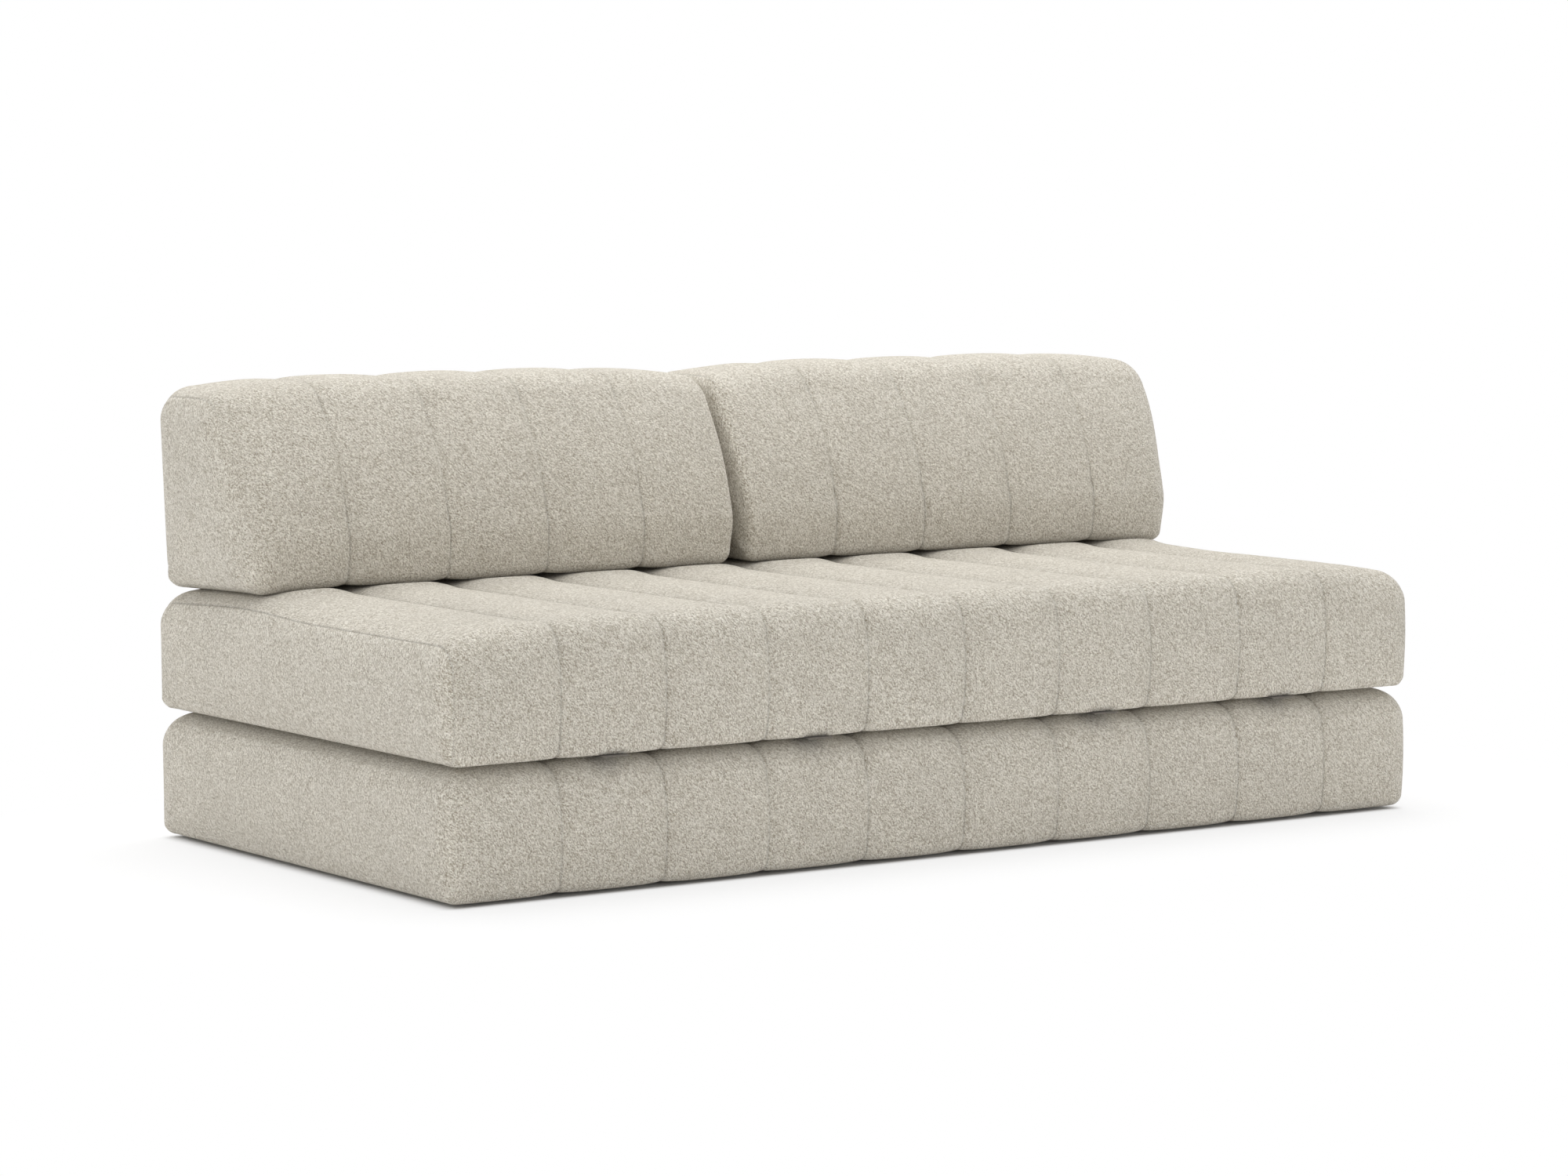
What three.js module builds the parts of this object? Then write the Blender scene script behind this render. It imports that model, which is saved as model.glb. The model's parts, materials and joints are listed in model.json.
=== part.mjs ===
// Fold-out sofa bed, in millimetres: two equal channel-quilted foam mattresses, one on the other, and two back
// cushions. The upper mattress turns over its front edge and lies on the floor in front of the lower one.
// X runs along the width, Y to the back and Z up. The origin is on the floor, under the middle of the sofa.
import * as THREE from "three";

// The whole sofa.
const sofaWidth = 2000;
const sofaDepth = 990; // from the front crown to the zip sliders at the back
const seatHeight = 442;
const footHeight = 5;
const standoff = 0.3; // between two pieces that touch
const foldGap = 3; // between the two mattresses, where the hinge tape lies folded
const foldClearance = 1; // between the front crown and the fold line

// Quilted covers.
const channelCount = 10;
const channelMargin = 10; // from each end of the sofa to the outermost channel
const seamDepth = 6; // a sewn seam lies this far below the crowns beside it
const coverWall = 12; // cloth and wadding
const endRadius = 48; // how roundly the cover rolls over each edge, onto the end face
const edgeRoll = 28; // from each face to the seam of the end panel, part of the way down that roll
const rimWall = 25; // thickness of the rolled rim, and of an end panel at its seam
const endCrown = 4; // an end panel swells this far past the end of the roll
const panelRecess = 1; // an end panel's own edge lies this far inside the rim
const frontCrown = 5; // swell of a mattress's front face
const baseEdgeRadius = 26; // along the floor
const grooveEdgeRadius = 46; // where one mattress lies on the other
const topEdgeRadius = 52; // the soft upper edge of the seat
const sharpRadius = 3; // edges of the foam pieces inside
const crownPower = 4; // how flat a channel is between its seams
const ringShares = [0, 0.12, 0.5, 0.88]; // where a channel's rings lie, as shares of its width

// Foam and board inside the mattresses.
const comfortLayer = 46;
const sleepLayer = 44;
const boardThickness = 12;
const boardRadius = 3;

// Underside of the lower mattress.
const footRadius = 25;
const footBevel = 2;
const footInset = 95; // from a foot's axis to the front or the back face
const liningThickness = 1;
const liningInset = 60; // from a foot's axis to the lining's edge
const channelsBetweenFeet = 3; // along the width

// Back cushions.
const cushionHeight = 348;
const cushionBaseDepth = 332;
const cushionTopDepth = 217;
const boxHeight = 90; // upright part of the front, below the leaning part
const cushionChannels = 5;
const cushionChannelMargin = 9.5; // from each end of a cushion to its outermost channel
const cushionGap = 2; // between the two cushions
const cushionEdgeRadius = 36;
const cushionCrown = 10; // swell of the leaning front
const cushionTopCrown = 4;
const browRadius = 72; // between the leaning front and the top
const napeRadius = 58; // between the top and the back
const kinkRadius = 110; // where the front starts to lean
const cushionSoftLayer = 55;

// Zips.
const zipTapeWidth = 30;
const zipTapeThickness = 1.2;
const coilWidth = 6;
const coilHeight = 1.6;
const sliderWidth = 11;
const sliderLength = 22;
const sliderTopWall = 1.4;
const mattressZipMargin = 150; // from a zip's end to the end of the sofa
const mattressZipHeight = 62; // above the mattress's underside
const cushionZipMargin = 100;
const cushionZipHeight = 128; // above the cushion's underside
const zipEnd = 12; // from the zip's end to its slider

// Woven tapes and flaps that hold the pieces together.
const hingeStrapWidth = 50;
const hingeStrapReach = 120; // from the fold line back to a strap's sewn end
const hingeStrapChannels = { far_left: -3.5, left: -1.5, right: 1.5, far_right: 3.5 }; // in channels from the middle
const hingeStrapClearance = 0.5; // between a strap's end and the plane of the front crowns
const flapMargin = 150; // from a flap's end to the end of its cushion
const flapHeight = 84;
const flapThickness = 1.2;
const flapFoldGap = 4; // from the fold line to the flap above it and the anchor tape below it
const anchorHeight = 120;
const stripThickness = 1.2;
const stripHeight = 54;
const flapAxisClearance = 1; // between the zip sliders' tops and the fold line of the flaps

// Levels and faces that several pieces share.
const foldHeight = seatHeight / 2;
const lowerBottom = footHeight + standoff;
const lowerTop = foldHeight - foldGap / 2;
const upperBottom = foldHeight + foldGap / 2;
const zipProud = standoff + zipTapeThickness + coilHeight + standoff + sliderTopWall;
const frontFace = -sofaDepth / 2 + frontCrown;
const backFace = sofaDepth / 2 - zipProud;
const channelWidth = (sofaWidth - 2 * channelMargin) / channelCount;
const cushionLength = (sofaWidth - cushionGap) / 2;
const cushionChannelWidth = (cushionLength - 2 * cushionChannelMargin) / cushionChannels;
const cushionCentre = (sofaWidth + cushionGap) / 4;
const cushionBottom = seatHeight + standoff;
const mattressZipLength = sofaWidth - 2 * mattressZipMargin;
const cushionZipLength = cushionLength - 2 * cushionZipMargin;
const flapLength = cushionLength - 2 * flapMargin;

const finishes = {
  boucle: { color: 0xb9b1a3, roughness: 0.95, metalness: 0 },
  foam: { color: 0xe8dfc4, roughness: 0.9, metalness: 0 },
  softFoam: { color: 0xdfe6ea, roughness: 0.9, metalness: 0 },
  plywood: { color: 0xc9a26c, roughness: 0.7, metalness: 0 },
  lining: { color: 0x2b2a29, roughness: 0.95, metalness: 0 },
  foot: { color: 0x1f1e1d, roughness: 0.5, metalness: 0 },
  tape: { color: 0x8f877a, roughness: 0.9, metalness: 0 },
  zip: { color: 0x8a8378, roughness: 0.6, metalness: 0 },
  slider: { color: 0x9b9b9b, roughness: 0.35, metalness: 1 },
};

const sofa = new THREE.Group();

function addPiece(name, geometry, finish, centreX = 0) {
  const piece = new THREE.Mesh(geometry, new THREE.MeshStandardMaterial(finishes[finish]));
  piece.name = name;
  piece.position.x = centreX;
  sofa.add(piece);
}

// A corner of an outline in the Y-Z plane. crown is the swell of the edge from this corner to the next one.
function corner(y, z, radius, crown = 0) {
  return { point: new THREE.Vector2(y, z), radius, crown };
}

// The directions of the edges before and after a corner, and their normals that point inwards.
function edgesAt(corners, i) {
  const { point } = corners[i];
  const before = point.clone().sub(corners[(i + corners.length - 1) % corners.length].point).normalize();
  const after = corners[(i + 1) % corners.length].point.clone().sub(point).normalize();
  const inBefore = new THREE.Vector2(-before.y, before.x);
  const inAfter = new THREE.Vector2(-after.y, after.x);
  return { before, after, inBefore, inAfter };
}

// The same outline with every edge moved inwards, so that its round corners keep their centres.
function drawnIn(corners, inset) {
  return corners.map(({ point, radius, crown }, i) => {
    const { inBefore, inAfter } = edgesAt(corners, i);
    const bisector = inBefore.clone().add(inAfter);
    const moved = point.clone().addScaledVector(bisector, inset / (1 + inBefore.dot(inAfter)));
    return { point: moved, radius: Math.max(radius - inset, sharpRadius / 2), crown };
  });
}

// The points of a rounded outline. Its corners run anticlockwise, seen from +X.
function outline(corners, crownShare = 1) {
  const arcSteps = 3;
  const rounded = corners.map(({ point, radius, crown }, i) => {
    const { before, after, inBefore, inAfter } = edgesAt(corners, i);
    const turn = Math.acos(before.dot(after));
    const start = point.clone().addScaledVector(before, -radius * Math.tan(turn / 2));
    const centre = start.addScaledVector(inBefore, radius);
    const spoke = inBefore.multiplyScalar(-radius);
    const arc = [];
    for (let step = 0; step <= arcSteps; step += 1) {
      const origin = new THREE.Vector2();
      arc.push(spoke.clone().rotateAround(origin, (turn * step) / arcSteps).add(centre));
    }
    return { arc, swell: inAfter.multiplyScalar(-crown * crownShare) };
  });
  return rounded.flatMap(({ arc, swell }, i) => {
    const next = rounded[(i + 1) % rounded.length].arc[0];
    const middle = arc[arcSteps].clone().lerp(next, 1 / 2).add(swell);
    return [...arc, middle];
  });
}

// A ring of 3-D points at a place along X: the outline, drawn in by inset.
function ring(corners, x, inset, crownShare) {
  return outline(drawnIn(corners, inset), crownShare).map((p) => new THREE.Vector3(x, p.x, p.y));
}

// Joins rings of equal count, placed along X, by a wall of triangles. With tips, each end is closed by a fan to
// a centre point at that place along X. Without tips, the last ring joins the first, as round a tube's wall.
function loft(rings, tips) {
  const count = rings[0].length;
  const points = rings.flat();
  const faces = [];
  const joins = tips ? rings.length - 1 : rings.length;
  for (let r = 0; r < joins; r += 1) {
    const here = r * count;
    const there = ((r + 1) % rings.length) * count;
    for (let i = 0; i < count; i += 1) {
      const j = (i + 1) % count;
      faces.push(here + i, here + j, there + j);
      faces.push(here + i, there + j, there + i);
    }
  }
  if (tips) {
    const last = (rings.length - 1) * count;
    points.push(tipOf(rings[0], tips[0]), tipOf(rings[rings.length - 1], tips[1]));
    for (let i = 0; i < count; i += 1) {
      const j = (i + 1) % count;
      faces.push(j, i, points.length - 2);
      faces.push(last + i, last + j, points.length - 1);
    }
  }
  return new THREE.BufferGeometry().setFromPoints(points).setIndex(faces);
}

function tipOf(points, x) {
  const box = new THREE.Box3().setFromPoints(points);
  const tip = box.getCenter(new THREE.Vector3());
  tip.x = x;
  return tip;
}

// A quilted body of a given whole length: its number of channels, how wide they are, where its rolled edges
// start and end, and where its mouths lie, into which the end panels are sewn.
function quilting(length, channels, width) {
  const rollEnd = length / 2 - endCrown;
  const rollStart = rollEnd - endRadius;
  const lastAngle = Math.acos(1 - edgeRoll / endRadius);
  return { channels, width, rollStart, rollEnd, lastAngle, mouth: rollStart + endRadius * Math.sin(lastAngle) };
}

// How far a quilted cover lies below its crowns at x. The seams lie between channels, not at the two ends.
function seamInset(x, { channels, width }) {
  const along = x / width + channels / 2;
  const channel = Math.min(Math.max(Math.floor(along), 0), channels - 1);
  const fromMiddle = 2 * (along - channel) - 1;
  const atOuterEdge = (channel === 0 && fromMiddle < 0) || (channel === channels - 1 && fromMiddle > 0);
  return atOuterEdge ? 0 : seamDepth * Math.abs(fromMiddle) ** crownPower;
}

// A cover sewn into channels that run round the outline, open at both ends, where its edges roll over.
function quiltedSleeve(corners, quilt) {
  const { channels, width, rollStart, lastAngle, mouth } = quilt;
  const rollSteps = 3;
  const rightRoll = [];
  for (let step = 0; step <= rollSteps; step += 1) {
    const angle = (lastAngle * step) / rollSteps;
    rightRoll.push({ x: rollStart + endRadius * Math.sin(angle), inset: endRadius * (1 - Math.cos(angle)) });
  }
  rightRoll[rollSteps].x = mouth;
  const leftRoll = rightRoll.map(({ x, inset }) => ({ x: -x, inset })).reverse();
  const middle = [];
  for (let channel = 0; channel < channels; channel += 1) {
    ringShares.forEach((share) => {
      const x = (channel + share - channels / 2) * width;
      if (Math.abs(x) < rollStart - sharpRadius) middle.push({ x, inset: seamInset(x, quilt) });
    });
  }
  const inner = [
    { x: mouth - rimWall, inset: edgeRoll },
    { x: mouth - rimWall, inset: coverWall },
    { x: -mouth + rimWall, inset: coverWall },
    { x: -mouth + rimWall, inset: edgeRoll },
  ];
  const isMouth = (x) => Math.abs(x) === mouth;
  const outside = [...leftRoll, ...middle, ...rightRoll].map(({ x, inset }) =>
    ring(corners, x, inset, isMouth(x) ? 0 : 1),
  );
  const inside = inner.map(({ x, inset }) => ring(corners, x, inset, 0));
  return loft([...outside, ...inside]);
}

// The plain panel sewn into a sleeve's right-hand mouth, or with side -1 its left-hand one.
function endPanel(corners, { mouth, rollEnd }, side) {
  const sewn = edgeRoll + standoff;
  const places = [
    { x: mouth - rimWall, inset: sewn },
    { x: mouth - panelRecess, inset: sewn },
    { x: rollEnd, inset: endRadius },
  ];
  const tips = [mouth - rimWall, rollEnd + endCrown];
  if (side < 0) {
    places.reverse();
    tips.reverse();
  }
  const rings = places.map(({ x, inset }) => ring(corners, side * x, inset, 0));
  return loft(rings, tips.map((x) => side * x));
}

// A block of foam or board that fills a cover from one end panel to the other.
function innerBlock(corners, { mouth }) {
  const half = mouth - rimWall - standoff;
  return loft([ring(corners, -half, 0, 0), ring(corners, half, 0, 0)], [-half, half]);
}

function box(lengthX, fromY, toY, fromZ, toZ) {
  const geometry = new THREE.BoxGeometry(lengthX, toY - fromY, toZ - fromZ);
  return geometry.translate(0, (fromY + toY) / 2, (fromZ + toZ) / 2);
}

// A section drawn in the Y-Z plane, its points anticlockwise seen from +X, and extruded along X.
function alongX(section, centreX, length) {
  const shape = new THREE.Shape(section.map(([y, z]) => new THREE.Vector2(y, z)));
  const geometry = new THREE.ExtrudeGeometry(shape, { depth: length, bevelEnabled: false });
  const xAxis = new THREE.Vector3(0, 1, 0);
  const yAxis = new THREE.Vector3(0, 0, 1);
  const zAxis = new THREE.Vector3(1, 0, 0);
  geometry.applyMatrix4(new THREE.Matrix4().makeBasis(xAxis, yAxis, zAxis));
  return geometry.translate(centreX - length / 2, 0, 0);
}

function addCover(name, corners, quilt, centreX = 0) {
  addPiece(`${name}_cover_sleeve`, quiltedSleeve(corners, quilt), "boucle", centreX);
  addPiece(`${name}_end_panel_left`, endPanel(corners, quilt, -1), "boucle", centreX);
  addPiece(`${name}_end_panel_right`, endPanel(corners, quilt, 1), "boucle", centreX);
}

// A coil zip on a back face: its tape with the raised coil, and the slider that straddles the coil.
function addZip(name, length, height, sliderSide, centreX = 0) {
  const tapeBack = backFace + standoff;
  const tapeFront = tapeBack + zipTapeThickness;
  const coilTop = tapeFront + coilHeight;
  const halfTape = zipTapeWidth / 2;
  const halfCoil = coilWidth / 2;
  const tape = [
    [tapeBack, height - halfTape],
    [tapeFront, height - halfTape],
    [tapeFront, height - halfCoil],
    [coilTop, height - halfCoil],
    [coilTop, height + halfCoil],
    [tapeFront, height + halfCoil],
    [tapeFront, height + halfTape],
    [tapeBack, height + halfTape],
  ];
  addPiece(`${name}_zip_tape`, alongX(tape, 0, length), "zip", centreX);
  const legBack = tapeFront + standoff;
  const notch = coilTop + standoff;
  const sliderTop = notch + sliderTopWall;
  const halfSlider = sliderWidth / 2;
  const halfNotch = halfCoil + standoff;
  const slider = [
    [legBack, height - halfSlider],
    [sliderTop, height - halfSlider],
    [sliderTop, height + halfSlider],
    [legBack, height + halfSlider],
    [legBack, height + halfNotch],
    [notch, height + halfNotch],
    [notch, height - halfNotch],
    [legBack, height - halfNotch],
  ];
  const place = sliderSide * (length / 2 - zipEnd - sliderLength / 2);
  addPiece(`${name}_zip_slider`, alongX(slider, place, sliderLength), "slider", centreX);
}

const mattressQuilt = quilting(sofaWidth, channelCount, channelWidth);
const cushionQuilt = quilting(cushionLength, cushionChannels, cushionChannelWidth);

function mattressOutline(bottom, top, lowerRadius, upperRadius) {
  return [
    corner(frontFace, bottom, lowerRadius),
    corner(backFace, bottom, lowerRadius),
    corner(backFace, top, upperRadius),
    corner(frontFace, top, upperRadius, frontCrown),
  ];
}

// A layer of a mattress's filling between two levels, with the radius of its lower and upper edges.
function filling(bottom, top, lowRadius, highRadius, sideInset = 0) {
  const wall = coverWall + standoff + sideInset;
  const corners = [
    corner(frontFace + wall, bottom, lowRadius),
    corner(backFace - wall, bottom, lowRadius),
    corner(backFace - wall, top, highRadius),
    corner(frontFace + wall, top, highRadius),
  ];
  return innerBlock(corners, mattressQuilt);
}

function addLowerMattress() {
  addCover("lower", mattressOutline(lowerBottom, lowerTop, baseEdgeRadius, grooveEdgeRadius), mattressQuilt);
  const wall = coverWall + standoff;
  const low = baseEdgeRadius - coverWall;
  const high = grooveEdgeRadius - coverWall;
  const boardTop = lowerBottom + wall + boardThickness;
  const coreTop = lowerTop - wall - comfortLayer;
  const board = filling(lowerBottom + wall, boardTop, boardRadius, boardRadius, low);
  addPiece("lower_base_board", board, "plywood");
  addPiece("lower_foam_core", filling(boardTop + standoff, coreTop, low, sharpRadius), "foam");
  const comfort = filling(coreTop + standoff, lowerTop - wall, sharpRadius, high);
  addPiece("lower_comfort_layer", comfort, "softFoam");
  addZip("lower", mattressZipLength, lowerBottom + mattressZipHeight, 1);
}

function addUnderside() {
  const reach = Math.min(-frontFace, backFace);
  const footRow = reach - footInset;
  const liningReach = footRow - liningInset;
  const liningLength = sofaWidth - 2 * footInset;
  const liningBottom = footHeight - liningThickness;
  const lining = box(liningLength, -liningReach, liningReach, liningBottom, footHeight);
  addPiece("underside_lining", lining, "lining");
  const profile = [
    new THREE.Vector2(0, 0),
    new THREE.Vector2(footRadius - footBevel, 0),
    new THREE.Vector2(footRadius, footBevel),
    new THREE.Vector2(footRadius, footHeight),
    new THREE.Vector2(0, footHeight),
  ];
  const footSides = 16;
  // Each foot sits under the crown of a channel: the outermost ones, and those a few channels further in.
  const outer = ((channelCount - 1) / 2) * channelWidth;
  const inner = outer - channelsBetweenFeet * channelWidth;
  const columns = { far_left: -outer, left: -inner, right: inner, far_right: outer };
  const rows = { front: -footRow, back: footRow };
  Object.entries(rows).forEach(([rowName, y]) => {
    Object.entries(columns).forEach(([columnName, x]) => {
      const foot = new THREE.LatheGeometry(profile, footSides).rotateX(Math.PI / 2);
      addPiece(`foot_${rowName}_${columnName}`, foot.translate(x, y, 0), "foot");
    });
  });
}

function addUpperMattress() {
  addCover("upper", mattressOutline(upperBottom, seatHeight, grooveEdgeRadius, topEdgeRadius), mattressQuilt);
  const wall = coverWall + standoff;
  const low = grooveEdgeRadius - coverWall;
  const high = topEdgeRadius - coverWall;
  const sleepTop = upperBottom + wall + sleepLayer;
  const coreTop = seatHeight - wall - comfortLayer;
  addPiece("upper_sleep_layer", filling(upperBottom + wall, sleepTop, low, sharpRadius), "softFoam");
  addPiece("upper_foam_core", filling(sleepTop + standoff, coreTop, sharpRadius, sharpRadius), "foam");
  const comfort = filling(coreTop + standoff, seatHeight - wall, sharpRadius, high);
  addPiece("upper_comfort_layer", comfort, "softFoam");
  addZip("upper", mattressZipLength, upperBottom + mattressZipHeight, 1);
}

// The woven straps that hinge the mattresses: one half of each is sewn to each mattress, under the crown of a
// channel, and the halves meet at the fold line.
function addHingeStraps() {
  const front = -sofaDepth / 2 + hingeStrapClearance;
  const back = front + hingeStrapReach;
  const free = standoff / 2;
  Object.entries(hingeStrapChannels).forEach(([place, channels]) => {
    const x = channels * channelWidth;
    const lower = box(hingeStrapWidth, front, back, lowerTop + standoff, foldHeight - free);
    const upper = box(hingeStrapWidth, front, back, foldHeight + free, upperBottom - standoff);
    addPiece(`hinge_strap_${place}_lower_half`, lower, "tape", x);
    addPiece(`hinge_strap_${place}_upper_half`, upper, "tape", x);
  });
}

function cushionOutline() {
  const top = seatHeight + cushionHeight;
  const front = backFace - cushionBaseDepth;
  return [
    corner(front, cushionBottom, cushionEdgeRadius),
    corner(backFace, cushionBottom, cushionEdgeRadius),
    corner(backFace, top, napeRadius, cushionTopCrown),
    corner(backFace - cushionTopDepth, top, browRadius, cushionCrown),
    corner(front, cushionBottom + boxHeight, kinkRadius),
  ];
}

function addCushion(name, side) {
  const corners = cushionOutline();
  const centreX = side * cushionCentre;
  addCover(name, corners, cushionQuilt, centreX);

  // The filling: soft foam along the front, and firm foam behind it.
  const [lowFront, lowBack, highBack, highFront, kink] = drawnIn(corners, coverWall + standoff);
  const lowSplit = lowFront.point.x + cushionSoftLayer;
  const highSplit = highFront.point.x + cushionSoftLayer;
  const bottom = lowFront.point.y;
  const top = highFront.point.y;
  const soft = [
    lowFront,
    corner(lowSplit, bottom, sharpRadius),
    corner(highSplit, top, sharpRadius),
    highFront,
    kink,
  ];
  const core = [
    corner(lowSplit + 2 * standoff, bottom, sharpRadius),
    lowBack,
    highBack,
    corner(highSplit + 2 * standoff, top, sharpRadius),
  ];
  addPiece(`${name}_comfort_layer`, innerBlock(soft, cushionQuilt), "softFoam", centreX);
  addPiece(`${name}_foam_core`, innerBlock(core, cushionQuilt), "foam", centreX);
  addZip(name, cushionZipLength, cushionBottom + cushionZipHeight, side, centreX);
}

// A cloth flap at the back holds each cushion: sewn to the seat below, hooked to the cushion above.
function addFlap(side, sideName) {
  const centreX = side * cushionCentre;
  const tapeFace = backFace + standoff;
  const flapFront = tapeFace + stripThickness + standoff;
  const flapBottom = seatHeight + flapFoldGap;
  const flap = box(flapLength, flapFront, flapFront + flapThickness, flapBottom, flapBottom + flapHeight);
  addPiece(`hinge_flap_${sideName}`, flap, "tape", centreX);
  const stripTop = flapBottom + flapHeight;
  const strip = box(flapLength, tapeFace, tapeFace + stripThickness, stripTop - stripHeight, stripTop);
  addPiece(`cushion_${sideName}_hook_strip`, strip, "tape", centreX);
  const anchorTop = seatHeight - flapFoldGap;
  const anchor = box(flapLength, tapeFace, tapeFace + flapThickness, anchorTop - anchorHeight, anchorTop);
  addPiece(`anchor_tape_${sideName}`, anchor, "tape", centreX);
}

addUnderside();
addLowerMattress();
addHingeStraps();
addUpperMattress();
[
  [-1, "left"],
  [1, "right"],
].forEach(([side, sideName]) => {
  addCushion(`cushion_${sideName}`, side);
  addFlap(side, sideName);
});

// Where the joints lie, for whoever writes them down.
sofa.userData.foldLine = { y: -sofaDepth / 2 - foldClearance, z: foldHeight };
sofa.userData.flapLine = { y: sofaDepth / 2 + flapAxisClearance, z: seatHeight };

export default sofa;
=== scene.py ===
import json
import math

import bmesh
import bpy
import numpy as np
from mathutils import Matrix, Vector, noise


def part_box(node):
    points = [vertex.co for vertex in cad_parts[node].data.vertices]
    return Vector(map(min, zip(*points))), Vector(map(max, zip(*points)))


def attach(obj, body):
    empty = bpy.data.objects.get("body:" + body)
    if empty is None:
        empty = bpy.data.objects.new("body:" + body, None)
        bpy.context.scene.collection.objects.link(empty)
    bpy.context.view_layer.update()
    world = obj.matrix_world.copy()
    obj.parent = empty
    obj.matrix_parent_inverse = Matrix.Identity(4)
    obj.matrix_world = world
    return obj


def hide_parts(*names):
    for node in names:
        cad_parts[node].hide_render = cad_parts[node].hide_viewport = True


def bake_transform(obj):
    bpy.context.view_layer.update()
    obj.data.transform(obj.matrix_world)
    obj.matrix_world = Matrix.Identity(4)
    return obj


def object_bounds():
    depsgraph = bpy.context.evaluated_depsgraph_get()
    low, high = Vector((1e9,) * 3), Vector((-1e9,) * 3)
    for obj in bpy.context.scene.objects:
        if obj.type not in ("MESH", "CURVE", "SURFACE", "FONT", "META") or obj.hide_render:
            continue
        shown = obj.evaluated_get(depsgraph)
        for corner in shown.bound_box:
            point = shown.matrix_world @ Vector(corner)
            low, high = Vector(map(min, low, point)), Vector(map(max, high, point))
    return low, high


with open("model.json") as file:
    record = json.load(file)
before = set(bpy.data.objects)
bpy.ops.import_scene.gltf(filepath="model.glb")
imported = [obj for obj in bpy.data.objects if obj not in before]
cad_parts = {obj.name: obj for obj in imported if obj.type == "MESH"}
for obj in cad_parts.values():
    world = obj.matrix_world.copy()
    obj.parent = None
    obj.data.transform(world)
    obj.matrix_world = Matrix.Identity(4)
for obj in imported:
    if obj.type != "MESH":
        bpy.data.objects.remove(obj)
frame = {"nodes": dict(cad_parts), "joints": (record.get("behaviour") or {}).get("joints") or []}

CAD_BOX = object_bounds()
MM = 0.001

# The photograph's camera, in metres and radians.
CAMERA_PLACE = (-4.6667, -6.6683, 1.1804)
CAMERA_YAW = math.radians(34.835)  # turned from +Y towards +X
CAMERA_PITCH = math.radians(7.533)  # tilted down
CAMERA_LENS = 107.61
CAMERA_SENSOR = 36.0
CAMERA_SHIFT = 0.11175

# Roundings of the covers.
BASE_RADIUS = 26 * MM  # along the floor
GROOVE_RADIUS = 54 * MM  # round the lower mattress's top, where the other lies on it
UNDER_RADIUS = 24 * MM  # round the underside of the upper mattress
SEAT_RADIUS = 52 * MM
CUSHION_LOW_RADIUS = 24 * MM
BROW_RADIUS = 72 * MM
NAPE_RADIUS = 58 * MM
KINK_RADIUS = 110 * MM
BOX_HEIGHT = 90 * MM  # of a cushion's upright part
CUSHION_TOP_DEPTH = 217 * MM  # from a cushion's back to its brow
CUSHION_CROWN = 9 * MM  # from a plain cushion's highest point down to its brow and nape
CUSHION_CORNER_RADIUS = 60 * MM  # between its front and its ends
END_RADIUS = 48 * MM  # how an end's edges roll over
INNER_RADIUS = 25 * MM  # the most that they do where the two cushions meet
CUSHION_BASE_ROLL = 42 * MM  # how a cushion's ends roll over along its base
END_FRONT_RADIUS = 38 * MM
END_BASE_RADIUS = 26 * MM
END_GROOVE_RADIUS = 48 * MM
END_UNDER_RADIUS = 36 * MM
MOUTH_GAP = 14 * MM  # from the seam of an end panel out to the flat of that end
END_SWELL = 5 * MM
FRONT_SWELL = 5 * MM

# Quilting.
MATTRESS_PITCH = 198 * MM
MATTRESS_SEAMS = 9
CUSHION_PITCH = 196 * MM
CUSHION_SEAMS = 4
CROWN_POWER = 3.6  # how flat a channel is between its seams
DEEP_SEAM = 7 * MM  # from here on a stitched line is as deep as it gets
TOP_SEAM_DEPTH = 11 * MM  # of the valleys across the top of a mattress
GROOVE_DEPTH = 2.6 * MM  # of the stitched line itself
GROOVE_WIDTH = 3.0 * MM
SHADE_WIDTH = 3.0 * MM  # of the painted shade on each side of a seam
DEEP_SPREAD = 1.8  # how much wider that painted shade lies along the deepest seams
VALLEY_WIDTH = 22 * MM  # of the painted shade on the slopes of the deepest valleys
# The most of its brightness that the cloth loses to the painted shade in a valley.
VALLEY_SHADE = 0.15
CREASE_DEPTH = 2.0 * MM  # of an end panel's seam
CREASE_WIDTH = 2.6 * MM
# How dark the painted shade along an end panel's seam is.
CREASE_SHADE = 0.6
CUSHION_UNDERCUT = 12 * MM  # how far a cushion's front draws back at its base
CUSHION_TUCK = 12 * MM  # how far a cushion's ends draw in at its base
FOLD_JOINT = next(joint for joint in frame["joints"] if joint["name"] == "mattress_fold")
FOLD_LINE = FOLD_JOINT["pos_m"][1]  # how far forward the two mattresses meet when the bed lies open
GROOVE_SAG = 5 * MM  # how far the groove between the mattresses sinks along the front and the ends
SEAT_BULGE = 5 * MM  # how far the seat swells up in front of the cushions
SEAT_DROP = 20 * MM  # how far the seat falls at its ends
SEAT_DROP_UNDER = 12 * MM  # the same under a cushion's front
SEAT_DROP_BACK = 24 * MM  # the same at the back edge
CUSHION_DROP = 16 * MM  # how far a cushion's top falls at its ends
CUSHION_SAG = 7 * MM  # how far its outer end sinks onto the falling seat, in front
CUSHION_SAG_BACK = 18 * MM  # the same at its back
CUSHION_FLARE = 18 * MM  # how far the top of the right cushion's outer end leans out
PINCH_DEPTH = 2.2 * MM  # of the small pinch across a cushion's ends
END_SWELL_SHARE = 0.6  # of the swell of an edge that is left at the ends

# The unevenness of the padding: heights, widths and seeds of its bumps.
SLEEVE_BUMPS = ((0.9 * MM, 190 * MM, 11), (0.35 * MM, 55 * MM, 23))
PANEL_BUMPS = ((1.6 * MM, 160 * MM, 31), (0.5 * MM, 60 * MM, 37))
NOISE_STRIDES = (7.3, 3.1, 5.7)  # from one seed's place in the noise to the next

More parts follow.
